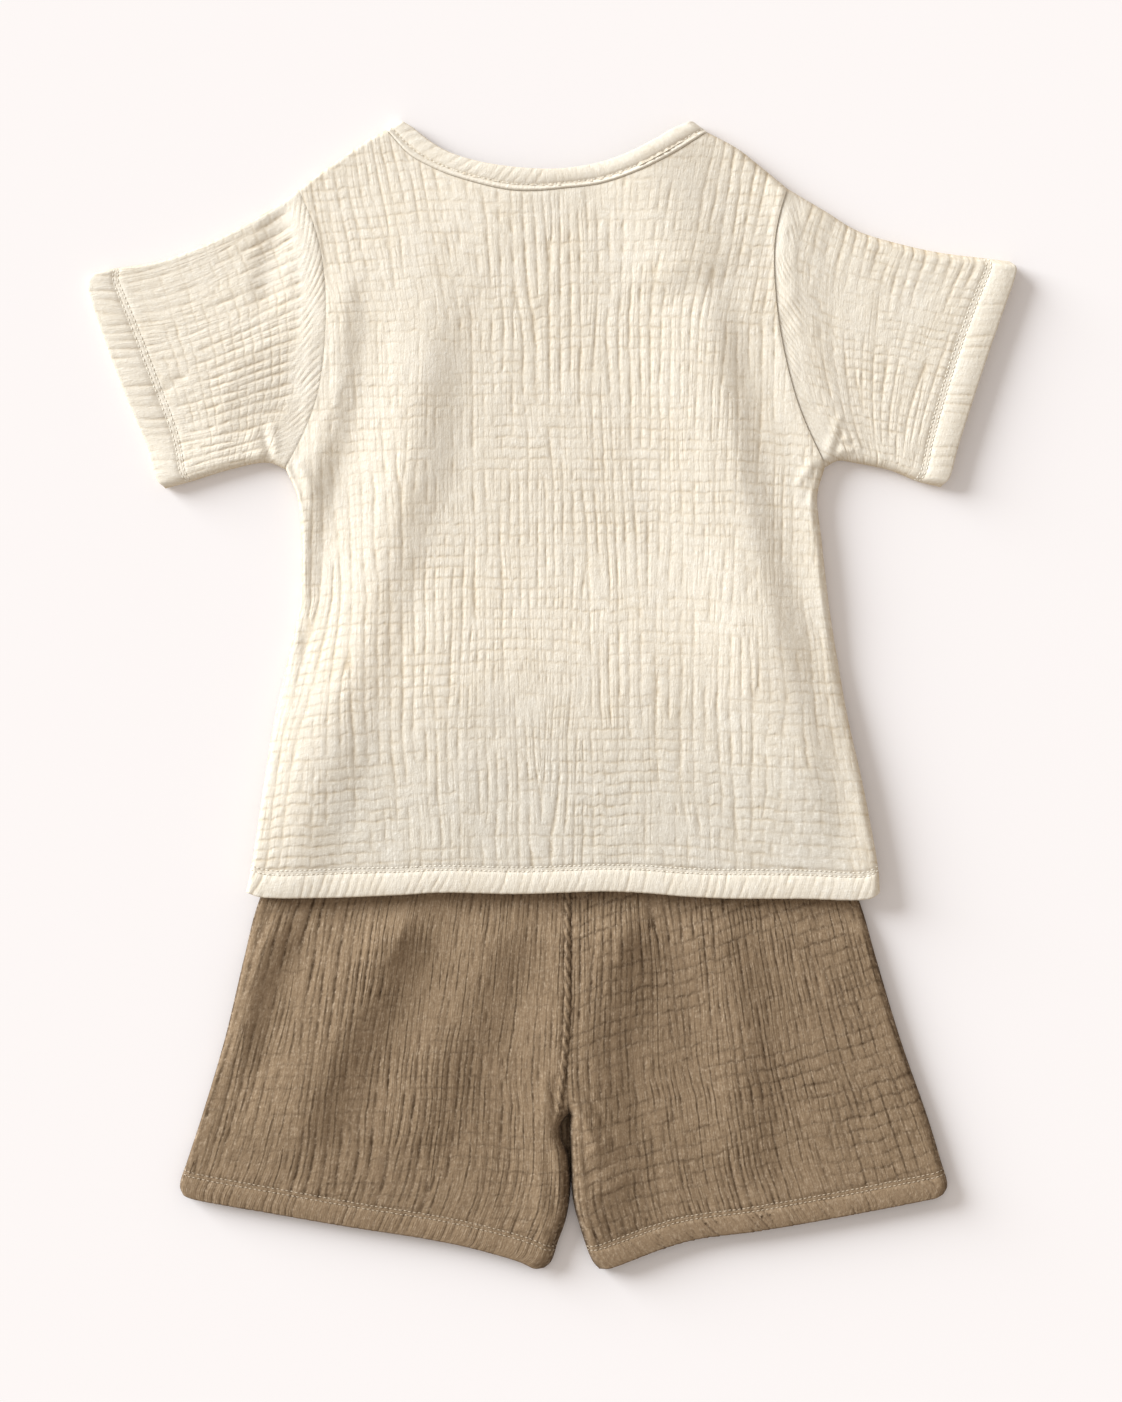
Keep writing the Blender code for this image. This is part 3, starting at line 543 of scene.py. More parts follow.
def blended(first, second, share):  # two reliefs, whose sharp lines fade where they meet
    out = {}
    for key in first:
        s = share[..., None] if first[key].ndim == 3 else share
        if key == "ribMap":
            out[key] = np.where(s > 0.5, second[key], first[key])
        elif key == "ribShare":
            out[key] = first[key] * np.clip(1 - 2 * s, 0, 1) + second[key] * np.clip(2 * s - 1, 0, 1)
        else:
            out[key] = (1 - s) * first[key] + s * second[key]
    return out


def hemmed(relief, a, d, look, seed):  # adds the hem's crinkle and shape; the second result is 1 in the hem
    inHem = 1 - smoothstep((d - hemWidth + 2.4) / 2.6)
    relief = blended(relief, hemCrinkle(a, d, look, seed), inHem)
    relief["height"] = relief["height"] + hemShape(d, look)
    return relief, inHem


seamLook = {
    "dip": 0.28, "dipReach": 0.9, "underShare": 0.3,
    "shade": 0.4, "shadeReach": 0.6, "rim": 1.5, "rimPower": 0.9,
}


def sewn(height, grid, curves, up):  # the cloth drawn down into its seams, and their shade
    nearest = nearestOf(grid, curves)
    dip = seamLook["dip"] * hump(nearest, seamLook["dipReach"]) * (1 if up else seamLook["underShare"])
    shade = seamLook["shade"] * hump(nearest, seamLook["shadeReach"])
    return height * smoothstep((nearest - 0.2) / 1.6) - dip, shade


def rimShade(turn):  # a little darker where the cloth turns down to a seam
    return seamLook["rim"] * (1 - turn) ** seamLook["rimPower"]


def sheetLayers(relief, u, v, shade, showThroughAndShade):  # what the material reads at each point
    # painted shade: the crinkle's groove shade together with that of the seams and turned edges
    return {"clothMap": clothMap(u, v), "paintedShade": np.clip(relief["paintedShade"] + shade, 0, 1.3),
            "showThroughAndShade": np.broadcast_to(showThroughAndShade, u.shape),
            "ribMap": relief["ribMap"], "ribShare": relief["ribShare"]}


# Meshes

def meshFrom(name, points, faces, material, layers=None):
    mesh = bpy.data.meshes.new(name)
    count = len(faces)
    mesh.vertices.add(len(points))
    mesh.vertices.foreach_set("co", (np.asarray(points) * mm).astype(np.float32).ravel())
    mesh.loops.add(count * 4)
    mesh.loops.foreach_set("vertex_index", np.asarray(faces, np.int32).ravel())
    mesh.polygons.add(count)
    mesh.polygons.foreach_set("loop_start", np.arange(0, count * 4, 4, dtype=np.int32))
    mesh.update(calc_edges=True)
    mesh.shade_smooth()
    for key, values in (layers or {}).items():
        values = np.asarray(values, np.float32)
        kind, field = ("FLOAT_VECTOR", "vector") if values.ndim == 2 else ("FLOAT", "value")
        mesh.attributes.new(key, kind, "POINT").data.foreach_set(field, values.ravel())
    mesh.materials.append(material)
    thing = bpy.data.objects.new(name, mesh)
    bpy.context.scene.collection.objects.link(thing)
    return thing


def gridFaces(rows, columns, ring, flip):
    r, c = np.meshgrid(np.arange(rows - 1), np.arange(columns if ring else columns - 1), indexing="ij")
    d = (c + 1) % columns
    low, high = r * columns, (r + 1) * columns
    quads = np.stack([low + c, low + d, high + d, high + c], axis=-1).reshape(-1, 4)
    return quads[:, ::-1] if flip else quads


def surfaceNormals(points, ring):
    if ring:
        across = np.roll(points, -1, axis=1) - np.roll(points, 1, axis=1)
    else:
        across = np.gradient(points, axis=1)
    return unitOf(np.cross(across, np.gradient(points, axis=0)))


def rolled(points, layers, end, radius, inner, ring, outward):  # adds rows that turn an edge under
    near, beyond = (0, 2) if end == 0 else (-1, -3)
    edge = points[near]
    out = unitOf(edge - points[beyond])
    normal = surfaceNormals(points, ring)[near] * outward
    radius = np.broadcast_to(radius, edge.shape[:1])[:, None]
    rows = []
    for angle in np.radians((30, 60, 90, 120, 150, 180)):
        rows.append(edge + out * radius * math.sin(angle) - normal * radius * (1 - math.cos(angle)))
    for depth in inner:  # shorter at the corners, so that it stays inside
        rows.append(edge - out * depth * radius / radius.max() - normal * radius * 2)
    extra = {key: np.repeat(values[near][None], len(rows), axis=0) for key, values in layers.items()}
    # painted shade on the turned-under rows of a hem
    extra["paintedShade"] = extra["paintedShade"] * 0.5 + 0.6
    if end == 0:
        grown = {key: np.concatenate([extra[key], layers[key]]) for key in layers}
        return np.concatenate([rows[::-1], points]), grown
    grown = {key: np.concatenate([layers[key], extra[key]]) for key in layers}
    return np.concatenate([points, rows]), grown


def facesUp(points, row, column):
    corner = points[row, column]
    return np.cross(points[row, column + 1] - corner, points[row + 1, column] - corner)[2] > 0


def clothSheet(name, points, layers, material, ring=False, faceUp=True):
    rows, columns = points.shape[:2]
    flip = facesUp(points, rows // 2, columns // 4 if ring else columns // 2) != faceUp
    points = np.dstack([points[..., :2], np.maximum(points[..., 2], 0.0)])  # nothing below the floor
    flat = {key: values.reshape((rows * columns,) + values.shape[2:]) for key, values in layers.items()}
    return meshFrom(name, points.reshape(-1, 3), gridFaces(rows, columns, ring, flip), material, flat)


def ringOf(upper, under):  # one row of points all round a flattened tube
    return np.concatenate([upper, under[:, -2:0:-1]], axis=1)


def rollRadius(across):  # of a hem's turned edge, smaller at its corners
    end = np.minimum(across, across[-1] - across)
    return hemRoll * np.sqrt(1 - np.clip(1 - (end + 0.12) / 3.0, 0, 1) ** 2)


def pulledIn(grid, steps, radius):  # makes room for the roll inside the outline
    inward = unitOf(grid[2] - grid[0])
    share = np.clip(1 - steps / 5.0, 0, 1) ** 1.5
    return grid + (share[:, None] * radius[None])[..., None] * inward[None]


def clothMap(u, v):
    return np.dstack([u, v, np.zeros_like(u)])


# Stitches

thread = {
    "length": 1.75, "pitch": 2.5, "radius": 0.30, "rise": 0.10, "sides": 6, "sink": 0.24,
    "rings": ((-0.68, 0.4, 1.0), (-0.50, 0.75, 0.9), (-0.34, 0.95, 0.1), (0.0, 1.05, 0.0),
              (0.34, 0.95, 0.1), (0.50, 0.75, 0.9), (0.68, 0.4, 1.0)),  # each: place along, size, sinking
}


def stitchLine(points, steps, distance):  # the line on a sheet at a distance from its hem
    row = float(np.interp(distance, steps, np.arange(len(steps))))
    low = int(row)
    return points[low] * (1 - row + low) + points[low + 1] * (row - low)


def stitches(name, lines, material):  # each line: points, +1 up or -1 down, share of a pitch to start at
    look = thread
    verts, faces, holes = [], [], []
    sides, rings = look["sides"], look["rings"]
    angles = np.arange(sides) * 2 * math.pi / sides
    for line, up, start in lines:
        s = lengthsOf(line)
        centres = np.arange(look["pitch"] * (0.6 + start), s[-1] - look["pitch"] * 0.6, look["pitch"])
        mid = atDistances(line, centres)
        along = unitOf(atDistances(line, centres + 0.7) - atDistances(line, centres - 0.7))
        top = np.array([0.0, 0.0, up])
        across = unitOf(np.cross(along, top))
        lift = unitOf(np.cross(across, along))
        jitter = np.random.default_rng(len(centres)).uniform(-0.14, 0.14, (len(centres), 3)) * [1, 1, 0.3]
        mid = mid + lift * look["rise"] + jitter
        for m, t, a, l in zip(mid, along, across, lift):
            base = len(verts)
            for shift, size, hole in rings:
                for angle in angles:
                    verts.append(m + t * shift * look["length"] - l * look["sink"] * hole
                                 + (a * math.cos(angle) + l * 0.8 * math.sin(angle)) * look["radius"] * size)
                    holes.append(hole)
            for ring in range(len(rings) - 1):
                for k in range(sides):
                    j = (k + 1) % sides
                    faces.append((base + ring * sides + k, base + ring * sides + j,
                                  base + (ring + 1) * sides + j, base + (ring + 1) * sides + k))
    verts = np.array(verts)
    verts[:, 2] = np.maximum(verts[:, 2], 0.0)
    # the sinking ends also carry painted shade, darker where the thread goes into the cloth
    return meshFrom(name, verts, faces, material, {"clothMap": verts, "paintedShade": np.array(holes)})


# Materials

class Wire:  # a socket in a material's nodes; arithmetic on it adds Math nodes
    def __init__(self, tree, socket=None):
        self.tree, self.socket = tree, socket

    def node(self, kind, settings=None, sockets=None, output=0):
        made = self.tree.nodes.new("ShaderNode" + kind)
        for key, value in (settings or {}).items():
            setattr(made, key, value)
        for key, value in (sockets or {}).items():
            if isinstance(value, Wire):
                self.tree.links.new(value.socket, made.inputs[key])
            else:
                made.inputs[key].default_value = value
        return Wire(self.tree, made.outputs[output] if made.outputs else None)

    def maths(self, operation, first, second=0.0, clamp=False):
        return self.node("Math", {"operation": operation, "use_clamp": clamp}, {0: first, 1: second})

    def __add__(self, other):
        return self.maths("ADD", self, other)

    def __radd__(self, other):
        return self.maths("ADD", other, self)

    def __sub__(self, other):
        return self.maths("SUBTRACT", self, other)

    def __rsub__(self, other):
        return self.maths("SUBTRACT", other, self)

    def __mul__(self, other):
        return self.maths("MULTIPLY", self, other)

    def __rmul__(self, other):
        return self.maths("MULTIPLY", other, self)

    def bell(self, width):  # 1 at zero, falling to both sides
        return self.maths("EXPONENT", self * self * (-1.0 / width ** 2))

    def limited(self):
        return self.maths("ADD", self, 0.0, clamp=True)

    def mixed(self, low, high, blend="MIX"):  # this value picks between two colours
        settings = {"data_type": "RGBA", "blend_type": blend}
        return self.node("Mix", settings, {0: self, 6: low, 7: high}, output=2)

    def layer(self, name, output="Vector"):
        return self.node("Attribute", {"attribute_name": name}, output=output)

    def parts(self):
        made = self.node("SeparateXYZ", None, {"Vector": self}).socket.node
        return [Wire(self.tree, socket) for socket in made.outputs]

    def stretched(self, x, y, z=1.0):
        return self.node("VectorMath", {"operation": "MULTIPLY"}, {0: self, 1: (x, y, z)})

    def grain(self, scale, detail=2.0, roughness=0.5):  # noise read at this place
        sockets = {"Vector": self, "Scale": scale, "Detail": detail, "Roughness": roughness}
        return self.node("TexNoise", None, sockets)


def newMaterial(name):
    material = bpy.data.materials.new(name)
    material.use_nodes = True
    material.node_tree.nodes.clear()
    return material, Wire(material.node_tree)


def rgba(colour):
    return (*colour, 1.0)


def finishMaterial(start, sockets):
    shader = start.node("BsdfPrincipled", None, sockets)
    start.node("OutputMaterial", None, {"Surface": shader})


weave = {  # noises of the cloth, as scale in each mm, detail and roughness
    "fuzz": (0.62, 4.0, 0.7), "streaks": (1.0, 4.0, 0.65), "streakStretch": (0.85, 0.17),
    "crumbs": (0.42, 2.0), "mottle": (0.055, 3.0), "mottleStretch": (1.0, 0.6),
}


def gauze(name, look):
    material, start = newMaterial(name)
    place = start.layer("clothMap")  # mm on the cloth
    paintedShade, showThroughAndShade = start.layer("paintedShade", "Fac"), start.layer("showThroughAndShade", "Fac")
    cosine, sine, cross = start.layer("ribMap").parts()
    ribShare, crossShare, halfShare = start.layer("ribShare").parts()
    fuzz = place.grain(*weave["fuzz"])
    streaks = place.stretched(*weave["streakStretch"]).grain(*weave["streaks"])
    crumbs = place.grain(*weave["crumbs"])
    mottle = place.stretched(*weave["mottleStretch"]).grain(*weave["mottle"])
    angle = sine.maths("ARCTAN2", sine, cosine) + (fuzz - 0.5) * 0.7
    across = angle.maths("ABSOLUTE", angle) * (look["pitch"] / (2 * math.pi))  # mm from a groove
    shifted = cross + (crumbs - 0.5) * 0.12 + cosine * 0.045 + 0.5
    along = shifted.maths("FRACT", shifted) - 0.5
    dashes = along * along * 1.6 + 0.65
    rib = across.bell(look["lineWidth"]) * ribShare * dashes
    half = (across - look["pitch"] / 2).bell(look["lineWidth"] * 0.8) * halfShare * dashes
    quarter = (across - look["pitch"] / 4).bell(look["lineWidth"] * 0.6) * (streaks * 2.2 - 0.85).limited()
    weft = (along * look["crossPitch"]).bell(look["lineWidth"] * 0.9) * crossShare * (0.8 - cosine * 0.3)
    lines = rib + half * look["halfShare"] + weft * look["crossShare"] + quarter * look["quarterShare"]
    lines = lines * (fuzz * 1.3 + 0.35)
    # painted shade: the colour is drawn towards a darker tan in the grooves, the crinkle's lines, the seams and the
    # turned edges
    dark = paintedShade * look["paintedShadeShare"] + lines * look["lineShade"]
    colour = dark.limited().mixed(rgba(look["colour"]), rgba(look["paintedShadeColour"]))
    colour = (showThroughAndShade * look["showThroughAndShadeShare"]).mixed(colour, rgba(look["showThroughAndShadeColour"]), "MULTIPLY")
    flecks = ((streaks + fuzz) * 4.0 - 4.0).limited()
    colour = (flecks * look["fleckShare"]).mixed(colour, rgba(look["fleckColour"]))
    specks = (3.6 - (streaks + fuzz) * 4.0).limited()
    colour = (specks * look["speckShare"]).mixed(colour, rgba(look["speckColour"]), "MULTIPLY")
    patches = ((mottle - 0.35) * look["mottle"]).limited()
    colour = patches.mixed(colour, rgba(look["mottleColour"]), "MULTIPLY")
    height = streaks * look["streakDepth"] + fuzz * look["fuzzDepth"] - lines * look["lineDepth"]  # mm
    normal = start.node("Bump", None, {"Strength": 1.0, "Distance": mm, "Height": height})
    finishMaterial(start, {"Base Color": colour, "Roughness": look["roughness"], "Normal": normal,
                           "Specular IOR Level": 0.15, "Sheen Weight": look["sheen"], "Sheen Roughness": 0.45,
                           "Sheen Tint": rgba(look["sheenTint"])})
    return material


def threadMaterial(name, colour, holeShadeColour):
    material, start = newMaterial(name)
    hole = start.layer("paintedShade", "Fac")
    ply = start.layer("clothMap").grain(2.2, 2.0)
    shade = (ply - 0.2).limited().mixed(rgba([c * 0.86 for c in colour]), rgba(colour))
    # painted shade where the thread dives into the cloth
    shade = hole.mixed(shade, rgba(holeShadeColour))
    normal = start.node("Bump", None, {"Strength": 0.5, "Distance": 0.08 * mm, "Height": ply})
    finishMaterial(start, {"Base Color": shade, "Roughness": 0.7, "Normal": normal, "Sheen Weight": 0.1})
    return material


creamLook = {
    # painted shade mixes the colour towards the second colour here, a darker tan
    "colour": (0.803, 0.744, 0.636), "paintedShadeColour": (0.55, 0.44, 0.29), "paintedShadeShare": 0.58,
    "lineShade": 0.36, "showThroughAndShadeColour": (0.88, 0.89, 0.905), "showThroughAndShadeShare": 1.0,
    "fleckColour": (0.90, 0.87, 0.79), "fleckShare": 0.6, "speckColour": (0.86, 0.82, 0.75),
    "speckShare": 0.7, "mottleColour": (0.93, 0.90, 0.845), "mottle": 1.3, "pitch": 5.6, "crossPitch": 5.6,
    "lineWidth": 0.85, "lineDepth": 0.20, "halfShare": 0.65, "crossShare": 0.72, "quarterShare": 0.5,
    "streakDepth": 0.28, "fuzzDepth": 0.26, "roughness": 0.93, "sheen": 0.06, "sheenTint": (1.0, 0.97, 0.9),
}
taupeLook = {
    # painted shade mixes the colour towards the second colour here, a near black brown
    "colour": (0.287, 0.202, 0.124), "paintedShadeColour": (0.080, 0.050, 0.027), "paintedShadeShare": 0.80,
    "lineShade": 0.62, "showThroughAndShadeColour": (0.8, 0.8, 0.8), "showThroughAndShadeShare": 0.0,
    "fleckColour": (0.45, 0.345, 0.24), "fleckShare": 0.7, "speckColour": (0.46, 0.42, 0.38),
    "speckShare": 0.8, "mottleColour": (0.86, 0.85, 0.83), "mottle": 1.3, "pitch": 5.4, "crossPitch": 6.4,
    "lineWidth": 0.72, "lineDepth": 0.34, "halfShare": 1.15, "crossShare": 0.55, "quarterShare": 0.7,
    "streakDepth": 0.36, "fuzzDepth": 0.30, "roughness": 0.95, "sheen": 0.05, "sheenTint": (0.9, 0.8, 0.68),
}
creamGauze = gauze("creamGauze", creamLook)
taupeGauze = gauze("taupeGauze", taupeLook)
creamThread = threadMaterial("creamThread", (0.86, 0.81, 0.70), (0.46, 0.37, 0.25))
beigeThread = threadMaterial("beigeThread", (0.50, 0.40, 0.28), (0.09, 0.06, 0.035))
print("materials made")


# The two cloths, and how a finished piece is declared

topCloth = {"slot": "top_gauze", "gauze": creamGauze, "thread": creamThread}
shortsCloth = {"slot": "shorts_gauze", "gauze": taupeGauze, "thread": beigeThread}


def placed(piece, cloth, *nodes):
    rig.ride(piece, "root")
    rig.slot(piece, cloth["slot"])
    if nodes:
        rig.replaces(piece, *nodes)
    print(piece.name, "made:", len(piece.data.vertices), "points")
    return piece


def flatSize(width, length, area=None):  # of a cut, in metres; the area where it isn't a rectangle
    full = width * length
    return {"flat": (width * mm, length * mm), "area": min(area or full, full) * mm * mm}


def panelArea(grid):  # square mm
    a, b = grid[1:, 1:] - grid[:-1, :-1], grid[1:, :-1] - grid[:-1, 1:]
    return float(np.abs(a[..., 0] * b[..., 1] - a[..., 1] * b[..., 0]).sum() / 2)


def flatCut(grid, area):  # a panel's size as cut, with its hem's turning
    width, length = np.ptp(grid.reshape(-1, 2), axis=0)
    return flatSize(width, length + turning, area + turning * width)


def hemStitches(name, sheets, steps, cloth):  # two rows at a hem; each sheet: points, +1 up or -1 down
    lines = [(stitchLine(points, steps, hemWidth - back), way, start)
             for back, start in ((0.0, 0.0), (rowGap, 0.5)) for points, way in sheets]
    return placed(stitches(name, lines, cloth["thread"]), cloth)


def openPanel(name, node, points, layers, steps, radius, up, cloth):  # its hem rolled under
    way = 1 if up else -1
    rolledPoints, rolledLayers = rolled(points, layers, 0, radius, hemInner, False, way)
    piece = placed(clothSheet(name, rolledPoints, rolledLayers, cloth["gauze"], faceUp=up), cloth, node)
    return piece, hemStitches(name + "HemStitches", [(points, way)], steps, cloth)


def ringPiece(name, node, parts, end, inner, cloth):  # a flattened tube of two parts, with one end rolled in
    (upper, upperLayers, upperRoll), (under, underLayers, underRoll) = parts
    points = ringOf(upper, under)
    layers = {key: ringOf(upperLayers[key], underLayers[key]) for key in upperLayers}
    radius = ringOf(upperRoll[None], underRoll[None])[0]
    way = 1 if facesUp(points, 5, 39) else -1  # read on the upper part
    points, layers = rolled(points, layers, end, radius, inner, True, way)
    return placed(clothSheet(name, points, layers, cloth["gauze"], ring=True), cloth, node)


# The top's back and front

topLook = {
    "ribPitch": 5.6, "ribDepth": 0.4, "ribShape": 0.75, "halfRibs": 1.1, "wander": 1.0, "merges": 60,
    "creased": 0.12, "crossPitch": 5.6, "crossDepth": 0.22, "cross": 0.85, "lowCross": 0.3, "pucker": 0.13,
    "hemPitch": 4.6, "hemDepth": 0.33, "hemLean": -0.28, "hemPuff": 0.55, "hemDip": 0.42, "columnStep": 1.0,
    "rowStep": 1.46, "underStep": 2.2, "neckShares": (0.15, 0.8), "grainWidth": 134, "thick": 0.55, "seed": 3,
    "creases": [
        (-136, 121, -128, 98, 2.2, -0.7), (-133, 122, -122, 104, 2.6, 0.6),
        (139, 121, 131, 100, 2.2, -0.6), (136, 122, 126, 108, 2.4, 0.5),
        (-134, 60, -128, 20, 2.8, -0.6), (-131, 40, -138, -20, 3.2, 0.5),
        (146, 30, 152, -30, 2.8, -0.5), (140, 60, 143, 10, 3.0, 0.4),
    ],
}


def bodyGrid(neck, look, up):
    step, rowStep = (look["columnStep"], look["rowStep"]) if up else (look["underStep"], look["underStep"])
    hem = curveOf("topHem")
    width = lengthsOf(hem)[-1]
    across = spaced(width, step, edgeSteps, edgeSteps)
    start, end = (int(np.argmin(abs(across - share * width))) for share in look["neckShares"])
    neckColumns = across[start:end + 1] - across[start]
    neckLine = atShares(curveOf(neck), neckColumns / neckColumns[-1])
    top = np.vstack([
        atShares(curveOf("shoulderLeft"), across[:start] / across[start]), neckLine,
        atShares(curveOf("shoulderRight"), (across[end + 1:] - across[end]) / (width - across[end])),
    ])
    sideLength, holeLength = (lengthsOf(curveOf(name))[-1] for name in ("sideLeft", "armholeLeft"))
    steps = spaced(sideLength, rowStep, hemSteps)
    holeShares = spaced(holeLength, rowStep, (), edgeSteps)[1:] / holeLength
    sides = []
    for side in ("Left", "Right"):
        seam = curveOf("side" + side)
        places = stretchedSteps(steps, sideLength, lengthsOf(seam)[-1])
        sides.append(np.vstack([atDistances(seam, places), atShares(curveOf("armhole" + side), holeShares)]))
    grid = coons(atShares(hem, across / width), top, *sides)
    return grid, across, np.concatenate([steps, sideLength + holeShares * holeLength]), neckLine


def grainAcross(grid, reference, straight=0.5):  # straight grain, bending at the side seams and shoulders
    middle = 4.0
    x, y = grid[..., 0] - middle, grid[..., 1]
    toLeft, toRight = (np.abs(np.interp(y, seam[:, 1], seam[:, 0]) - middle)
                       for seam in (np.array(outline[name][:6]) for name in ("sideLeft", "sideRight")))
    halfWidth = np.where(x < 0, toLeft, toRight)
    bend = smoothstep((np.abs(x) / halfWidth - straight) / (1 - straight))
    shoulderBend = 0.16 * np.clip(y - 195, 0, 100) * smoothstep((np.abs(x) - 12) / 60)
    return x * (1 + (reference / halfWidth - 1) * bend) - np.sign(x) * shoulderBend


def showThroughAndShadeAt(grid):  # where the dark shorts show faintly through the top, with painted fold shade near its left side
    x, y = grid[..., 0], grid[..., 1]
    left, right = grid[:, :1, 0], grid[:, -1:, 0]
    # painted shade: the ramp in from the left side starts early, darkening a fold's shaded slope at the lower left
    inside = smoothstep((x - left - 4) / 46) * smoothstep((right - x - 7) / 16)
    return smoothstep((22 - y + 9 * noise(x / 24, y / 20, 71)) / 85) * inside


def makeBody():
    look = topLook
    closed = [curveOf(name) for name in ("sideLeft", "shoulderLeft", "sideRight", "shoulderRight")]
    holes = [curveOf("armholeLeft"), curveOf("armholeRight")]
    necks = {}
    for name, node, neck in (("backPanel", "top_back", "backNeck"), ("frontPanel", "top_front", "frontNeck")):
        up = name == "backPanel"
        grid, across, steps, necks[neck] = bodyGrid(neck, look, up)
        flatArea = panelArea(grid)
        radius = rollRadius(across)
        grid = pulledIn(grid, steps, radius)
        turn, nearest, level = turnAt(grid, edgesOf(closed, ("flat", "flat", "plump", "plump"), up))
        u = grainAcross(grid, look["grainWidth"])
        v = grid[..., 1] + 0.0003 * (grid[..., 0] - 5) ** 2
        seed = look["seed"] + (0 if up else underSeed)
        low = smoothstep((10 - grid[..., 1]) / 70)  # the cross creases are stronger towards the hem
        relief = crinkle(u, v, {**look, "cross": look["cross"] * (1 + look["lowCross"] * low)}, seed)
        relief, inHem = hemmed(relief, *spread(across, steps), look, seed)
        height, shade = sewn(relief["height"], grid, holes + [curveOf(neck)], up)
        base, showThroughAndShade = liftAt(grid), showThroughAndShadeAt(grid)
        if up:
            height = height + creaseRelief(grid, look["creases"])
            soft = (liftAt(grid, lay["softRun"]) - base) * smoothstep(nearest / 55)
            z = base + upperZ(level, turn, topHeight(grid) + soft, height)
            showThroughAndShade = showThroughAndShade * (1 - inHem)
        else:
            z = base + underZ(level, turn, height, look["thick"])
            showThroughAndShade = showThroughAndShade * 0.4
        layers = sheetLayers(relief, u, v, 0.8 * shade + rimShade(turn), showThroughAndShade)
        piece, seam = openPanel(name, node, np.dstack([grid, z]), layers, steps, radius, up, topCloth)
        rests = ["frontPanel"] if up else ["leftLegBack", "rightLegBack"]
        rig.sheet(piece, held="laid", rests_on=rests, with_pieces=[seam], **flatCut(grid, flatArea))
    return necks


necks = makeBody()


# The sleeves

sleeveLook = {
    "halfRibs": 0.9, "creased": 0.2, "pucker": 0.12, "hemPitch": 5.2, "underStep": 2.0, "thick": 0.5,
    "easedRun": 17, "flatWidth": 256, "flatLength": 105,
}
leftSleeveLook = {
    **sleeveLook, "ribPitch": 5.5, "ribDepth": 0.44, "ribShape": 0.7, "wander": 1.0, "merges": 14,
    "crossPitch": 5.5, "crossDepth": 0.2, "cross": 0.7, "hemDepth": 0.36, "hemLean": 0.25, "hemPuff": 0.45,
    "hemDip": 0.42, "columnStep": 0.75, "rowStep": 0.95, "lengthwise": True, "edges": ("plump", "flat"),
    "drop": 0.5, "seed": 11,
    "creases": [
        (-146, 121.5, -151, 139, 2.0, -0.7), (-151, 122, -158, 136, 3.0, 0.5),
        (-143, 124, -146, 142, 2.4, 0.5), (-208, 152, -190, 168, 3.0, -0.4),
    ],
}
rightSleeveLook = {
    **sleeveLook, "ribPitch": 6.5, "ribDepth": 0.38, "ribShape": 0.8, "wander": 0.8, "merges": 6,
    "crossPitch": 5.3, "crossDepth": 0.26, "cross": 0.9, "hemDepth": 0.2, "hemLean": 0.1, "hemPuff": 0.7,
    "hemDip": 0.4, "columnStep": 0.85, "rowStep": 0.85, "lengthwise": False, "edges": ("plump", "plump"),
    "drop": 0.8, "seed": 17,
    "creases": [
        (146, 123, 151, 137, 1.4, -0.5), (150, 133, 158, 133.5, 1.2, 0.4), (158, 133.5, 160.5, 128, 1.2, 0.4),
        (150, 130.5, 156.5, 130.5, 0.9, -0.4), (149, 127, 157.5, 127, 1.2, 0.4),
        (151, 123.5, 158, 124, 1.0, -0.3), (143, 126, 150, 146, 2.2, 0.5),
    ],
}


def armholeCrinkle(distance, along, seed):  # fine slanting ribs where the sleeve is eased into the armhole
    phase = (0.77 * distance + 0.64 * along) / 2.7 + 0.9 * noise(distance / 10, along / 16, seed)
    rib = ribsOf(phase)
    strength = np.clip(0.5 + 0.7 * noise(distance / 6, along / 9, seed + 1), 0, 1)
    height = 0.28 * strength * (rib - 1) + 0.16 * noise(distance / 3, along / 5, seed + 2)
    # painted shade in the eased ribs' grooves
    paintedShade = 0.6 * strength * (1 - rib) ** 2
    return {"height": height, "paintedShade": paintedShade, **ribLines(phase, phase * 0, (strength, 0.0, 0.0))}


